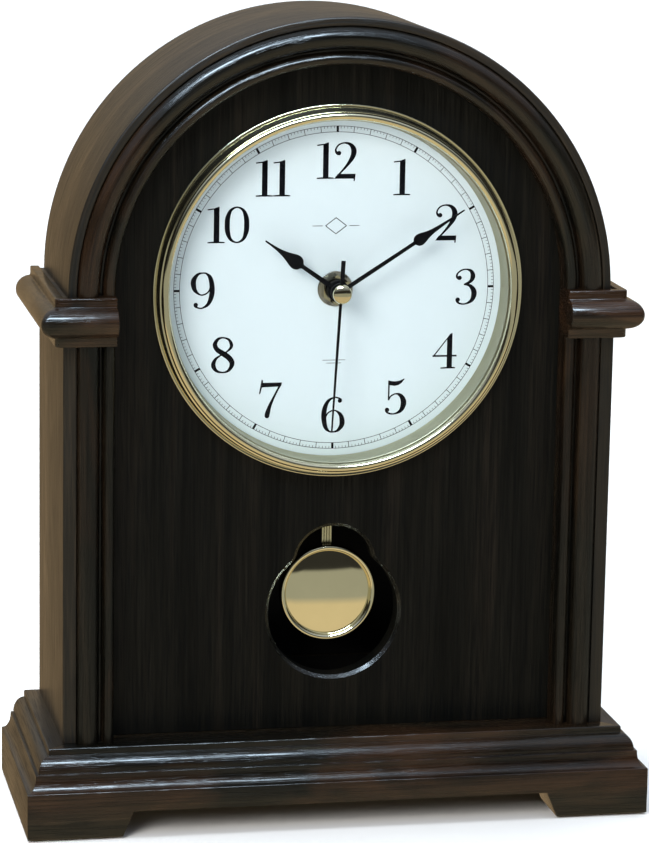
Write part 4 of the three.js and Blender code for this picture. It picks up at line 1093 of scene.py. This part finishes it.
# ---- pendulum
def make_pendulum():
    back_y, front_y = bob_high[1], bob_low[1]
    r = BOB_RADIUS
    edge, roll, rim, sunk, crown, steps = 1.2, 1.15, 2.4, 1.9, 1.85, 10
    section = [(0, back_y), (r - 1.6, back_y)]
    section += arc(r - edge, back_y - edge, edge, edge, 90, 0, 6)
    section += arc(r - roll, front_y + roll, roll, roll, 0, -160, 14)
    inner = r - rim
    section += [(inner, front_y + sunk - 0.3), (inner - 0.25, front_y + sunk)]
    for k in range(1, steps + 1):
        outward = 1 - k / steps
        section.append((inner * outward, front_y + sunk - crown * (1 - outward**2)))
    section[-1] = (0, front_y + sunk - crown)
    bob = lathe("brass_bob", section, BOB_Z)
    smooth(bob, 40)
    place(bob, "pendulum", GOLD_BOB, "gold", "pendulum_bob")

    half = rod_high[0]
    front = rod_low[1]
    back = front + 0.8
    ridges = []
    count = 4
    pitch = 2 * half / count
    for k in range(count):
        centre = -half + pitch * (k + 0.5)
        ridges += [(centre + pitch * 0.5 * math.cos(a), front + 0.28 - 0.28 * math.sin(a))
                   for a in (math.radians(d) for d in (170, 135, 90, 45, 10))]
    plan = [(-half, back), (-half, front + 0.3), *ridges, (half, front + 0.3), (half, back)]
    bm = bmesh.new()
    loft(bm, [[(x, y, z) for x, y in plan] for z in (rod_low[2], rod_high[2] - 0.2)])
    hook_z = rod_high[2] - 6
    hook = [(front + 0.05, hook_z - 1.1), (rod_high[1], hook_z - 1.1), (rod_high[1], hook_z + 4)]
    hook += [(rod_high[1] - 0.8, hook_z + 4), (rod_high[1] - 0.8, hook_z - 0.3), (front + 0.05, hook_z - 0.3)]
    loft(bm, [[(x, y, z) for y, z in hook] for x in (-half + 0.05, half - 0.05)])
    rod = to_object("ribbed_rod", bm, weld=False)
    smooth(rod, 35)
    place(rod, "pendulum", GOLD_ROD, "gold", "pendulum_rod")


# ---- back
def make_back():
    y0, y1 = frame_low[1], frame_high[1]
    outer_half = frame_high[0]
    outer_radius = frame_high[2] - SPRING_Z
    width = 12.0
    foot = frame_low[2]
    outer = arched(outer_half, outer_radius, foot, SPRING_Z)
    inner = arched(outer_half - width, outer_radius - width, foot + width, SPRING_Z)
    stack = ((outer, y0), (outer, y1), (inner, y1), (inner, y0), (outer, y0))
    rings = [[(x, y, z) for x, z in outline] for outline, y in stack]
    surround = lofted("back_surround", rings, caps=False)
    soften(surround, 0.4, 2)
    place(surround, "case", BOARD, "black_board", "back_frame")

    half = door_high[0]
    radius = door_high[2] - SPRING_Z
    door = prism("door_board", arched(half, radius, door_low[2], SPRING_Z), y0, y1)
    soften(door, 0.6, 3)
    place(door, "back_door", BOARD, "black_board", "back_door")


def screw_head(name, x, y, z, radius, slot_turn):
    """A slotted countersunk head seen from behind, its slot cut into the dome."""
    section = [(0, y), (radius, y), (radius * 0.96, y + 0.12), (radius * 0.7, y + 0.3), (0, y + 0.42)]
    head = lathe(name, section, z, x, steps=32)
    long, wide = radius + 0.3, 0.2
    a = math.radians(slot_turn)
    c, s = math.cos(a), math.sin(a)
    corners = [(-long, -wide), (long, -wide), (long, wide), (-long, wide)]
    outline = [(x + p * c - q * s, z + p * s + q * c) for p, q in corners]
    cut(head, prism("cutter", outline, y + 0.16, y + 1.0))
    return head


def make_hinge_screws():
    screw_radius, from_edge, from_end = 1.5, 3.6, 4.0
    plate_thickness = 0.82
    for leaf, body in (("frame", "case"), ("door", "back_door")):
        heads = []
        for place_name in ("lower", "upper"):
            low, high = span(f"{leaf}_hinge_leaf_{place_name}")
            edge_x = low[0] + from_edge if leaf == "frame" else high[0] - from_edge
            plate_y = low[1] + plate_thickness
            for k, z in enumerate((low[2] + from_end, high[2] - from_end)):
                turn = 25 + 50 * k + (35 if place_name == "upper" else 0)
                heads.append(screw_head(f"{leaf}_screw", edge_x, plate_y, z, screw_radius, turn))
        join(heads[0], *heads[1:])
        heads[0].name = leaf + "_hinge_screws"
        smooth(heads[0], 30)
        place(heads[0], body, GOLD, "gold")


# ---- carried-over CAD nodes
LEVELS = ("lower", "upper")
CORNERS = ("front_left", "front_right", "back_left", "back_right")
WHEELS = ("minute", "hour", "seconds", "third", "centre", "step")
NODE_LOOKS = (
    (WOOD_X, ("base_back_rail", "base_board")),
    (GOLD, ("hex_nut", *(f"{leaf}_hinge_leaf_{level}" for leaf in ("frame", "door") for level in LEVELS))),
    (GOLD_BOB, ("door_pull",)),
    (NICKEL, ("door_catch",)),
    (COPPER, ("pendulum_coil", "motor_coil")),
    (STEEL, ("cannon_pinion", "rotor", "stator", "positive_contact", "negative_contact")),
    (STEEL, tuple("hinge_pin_" + level for level in LEVELS)),
    (BLACK_PLASTIC, ("movement_front_shell", "movement_back_shell", "setting_knob")),
    (WHITE_PLASTIC, ("pendulum_hanger", "middle_plate", *(wheel + "_wheel" for wheel in WHEELS))),
    (BOARD_GREEN, ("circuit_board",)),
    (CELL_BLUE, ("battery",)),
    (FELT, tuple("felt_pad_" + corner for corner in CORNERS)),
)
ROUNDED_NODES = {
    "base_back_rail": 0.5,
    "movement_front_shell": 0.5,
    "movement_back_shell": 0.5,
    "setting_knob": 0.3,
    "hex_nut": 0.2,
    "door_pull": 0.3,
    "door_catch": 0.4,
}


def dress_cad_nodes():
    for name, look in [(name, look) for look, names in NODE_LOOKS for name in names]:
        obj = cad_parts[name]
        obj.data.materials.clear()
        obj.data.materials.append(look)
        for polygon in obj.data.polygons:
            polygon.material_index = 0
        smooth(obj, 30)
        if name in ROUNDED_NODES:
            bevel = obj.modifiers.new("soft_edges", "BEVEL")
            bevel.width = ROUNDED_NODES[name] * MM
            bevel.segments = 2
            bevel.limit_method = "ANGLE"
            bevel.angle_limit = math.radians(40)


# ---- camera, light, floor
def make_camera():
    data = bpy.data.cameras.new("camera")
    camera = bpy.data.objects.new("camera", data)
    bpy.context.scene.collection.objects.link(camera)
    yaw, pitch, roll = (math.radians(d) for d in (11.515, 11.711, 0.976))
    forward = Vector((math.sin(yaw) * math.cos(pitch), math.cos(yaw) * math.cos(pitch), -math.sin(pitch)))
    level = Vector((math.cos(yaw), -math.sin(yaw), 0))
    up = level.cross(forward)
    right = level * math.cos(roll) + up * math.sin(roll)
    above = up * math.cos(roll) - level * math.sin(roll)
    turn = Matrix((right, above, -forward)).transposed().to_4x4()
    camera.matrix_world = Matrix.Translation((-0.270103, -1.327868, 0.427440)) @ turn
    data.sensor_fit = "HORIZONTAL"
    data.sensor_width = 36
    data.lens = 190.9
    data.shift_x = -0.00255
    data.shift_y = 0.03367
    data.clip_start = 0.05
    data.clip_end = 50
    bpy.context.scene.camera = camera


def add_light(name, kind, power, colour, glossy):
    data = bpy.data.lights.new(name, kind)
    data.energy = power
    data.color = colour
    light = bpy.data.objects.new(name, data)
    bpy.context.scene.collection.objects.link(light)
    light.visible_glossy = glossy
    return light


def softbox(name, centre, target, width, height, power, colour, diffuse=True, glossy=True):
    light = add_light(name, "AREA", power, colour, glossy)
    light.data.shape = "RECTANGLE"
    light.data.size = width
    light.data.size_y = height
    light.location = centre
    light.visible_diffuse = diffuse
    aim = Vector(target) - Vector(centre)
    light.rotation_mode = "QUATERNION"
    light.rotation_quaternion = aim.to_track_quat("-Z", "Y")


def make_studio():
    world = bpy.data.worlds.new("studio")
    bpy.context.scene.world = world
    world.use_nodes = True
    tree = world.node_tree
    background = tree.nodes["Background"]
    direction = tree.nodes.new("ShaderNodeTexCoord").outputs["Generated"]
    split = tree.nodes.new("ShaderNodeSeparateXYZ")
    tree.links.new(direction, split.inputs[0])
    height = math_node(tree, "MULTIPLY", math_node(tree, "ADD", split.outputs[2], 1.0), 0.5)
    cream, grey, dusk = (0.82, 0.70, 0.46), (0.44, 0.45, 0.38), (0.035, 0.035, 0.033)
    tan, haze, zenith = (0.53, 0.37, 0.20), (0.50, 0.42, 0.30), (0.75, 0.85, 1.0)
    below = [(0.32, cream), (0.355, grey), (0.485, grey)]
    front = ramp(tree, height, [*below, (0.50, dusk), (0.62, dusk), (0.9, zenith)])
    behind = ramp(tree, height, [(0.3, tan), (0.52, tan), (0.62, haze), (0.9, zenith)])
    room = mixed(tree, ramp(tree, split.outputs[1], [(0.1, 0.0), (0.6, 1.0)]), front, behind)
    # the camera sees a plain pale backdrop; the room is only in reflections and in the light
    seen = tree.nodes.new("ShaderNodeLightPath").outputs["Is Camera Ray"]
    tree.links.new(mixed(tree, seen, room, (1.2, 1.2, 1.2, 1)), background.inputs["Color"])
    background.inputs["Strength"].default_value = 0.9
    daylight, white = (0.66, 0.84, 1.0), (1.0, 0.98, 0.95)
    softbox("window", (-0.25, -0.75, 1.25), (0, -0.05, 0.2), 1.0, 0.24, 36, daylight, diffuse=False)
    softbox("key", (-1.1, -1.5, 1.1), (0, 0, 0.18), 0.9, 0.9, 36, white, glossy=False)
    sun = add_light("overhead", "SUN", 2.9, (0.86, 0.93, 1.0), glossy=False)
    sun.data.angle = math.radians(42)
    sun.rotation_euler = (math.radians(-8), math.radians(-8), 0)

    bm = bmesh.new()
    bmesh.ops.create_grid(bm, x_segments=24, y_segments=24, size=9000)
    floor = to_object("floor", bm)
    made, tree, shader, coords = material("pale_floor")
    cloud = noise(tree, coords, 3, 2, 0.5)
    tint(tree, shader, cloud, [(0.3, (0.90, 0.88, 0.85)), (0.7, (0.92, 0.90, 0.87))])
    shader.inputs["Roughness"].default_value = 0.8
    floor.data.materials.append(made)
    floor.visible_glossy = False
    bpy.context.scene.view_settings.view_transform = "Standard"


make_camera()
make_studio()
make_base()
make_case()
make_front_mouldings()
make_capitals()
make_front_panel()
make_bezel()
make_minute_track()
make_numerals()
make_dial_ornament()
make_hands()
make_pendulum()
make_back()
make_hinge_screws()
dress_cad_nodes()
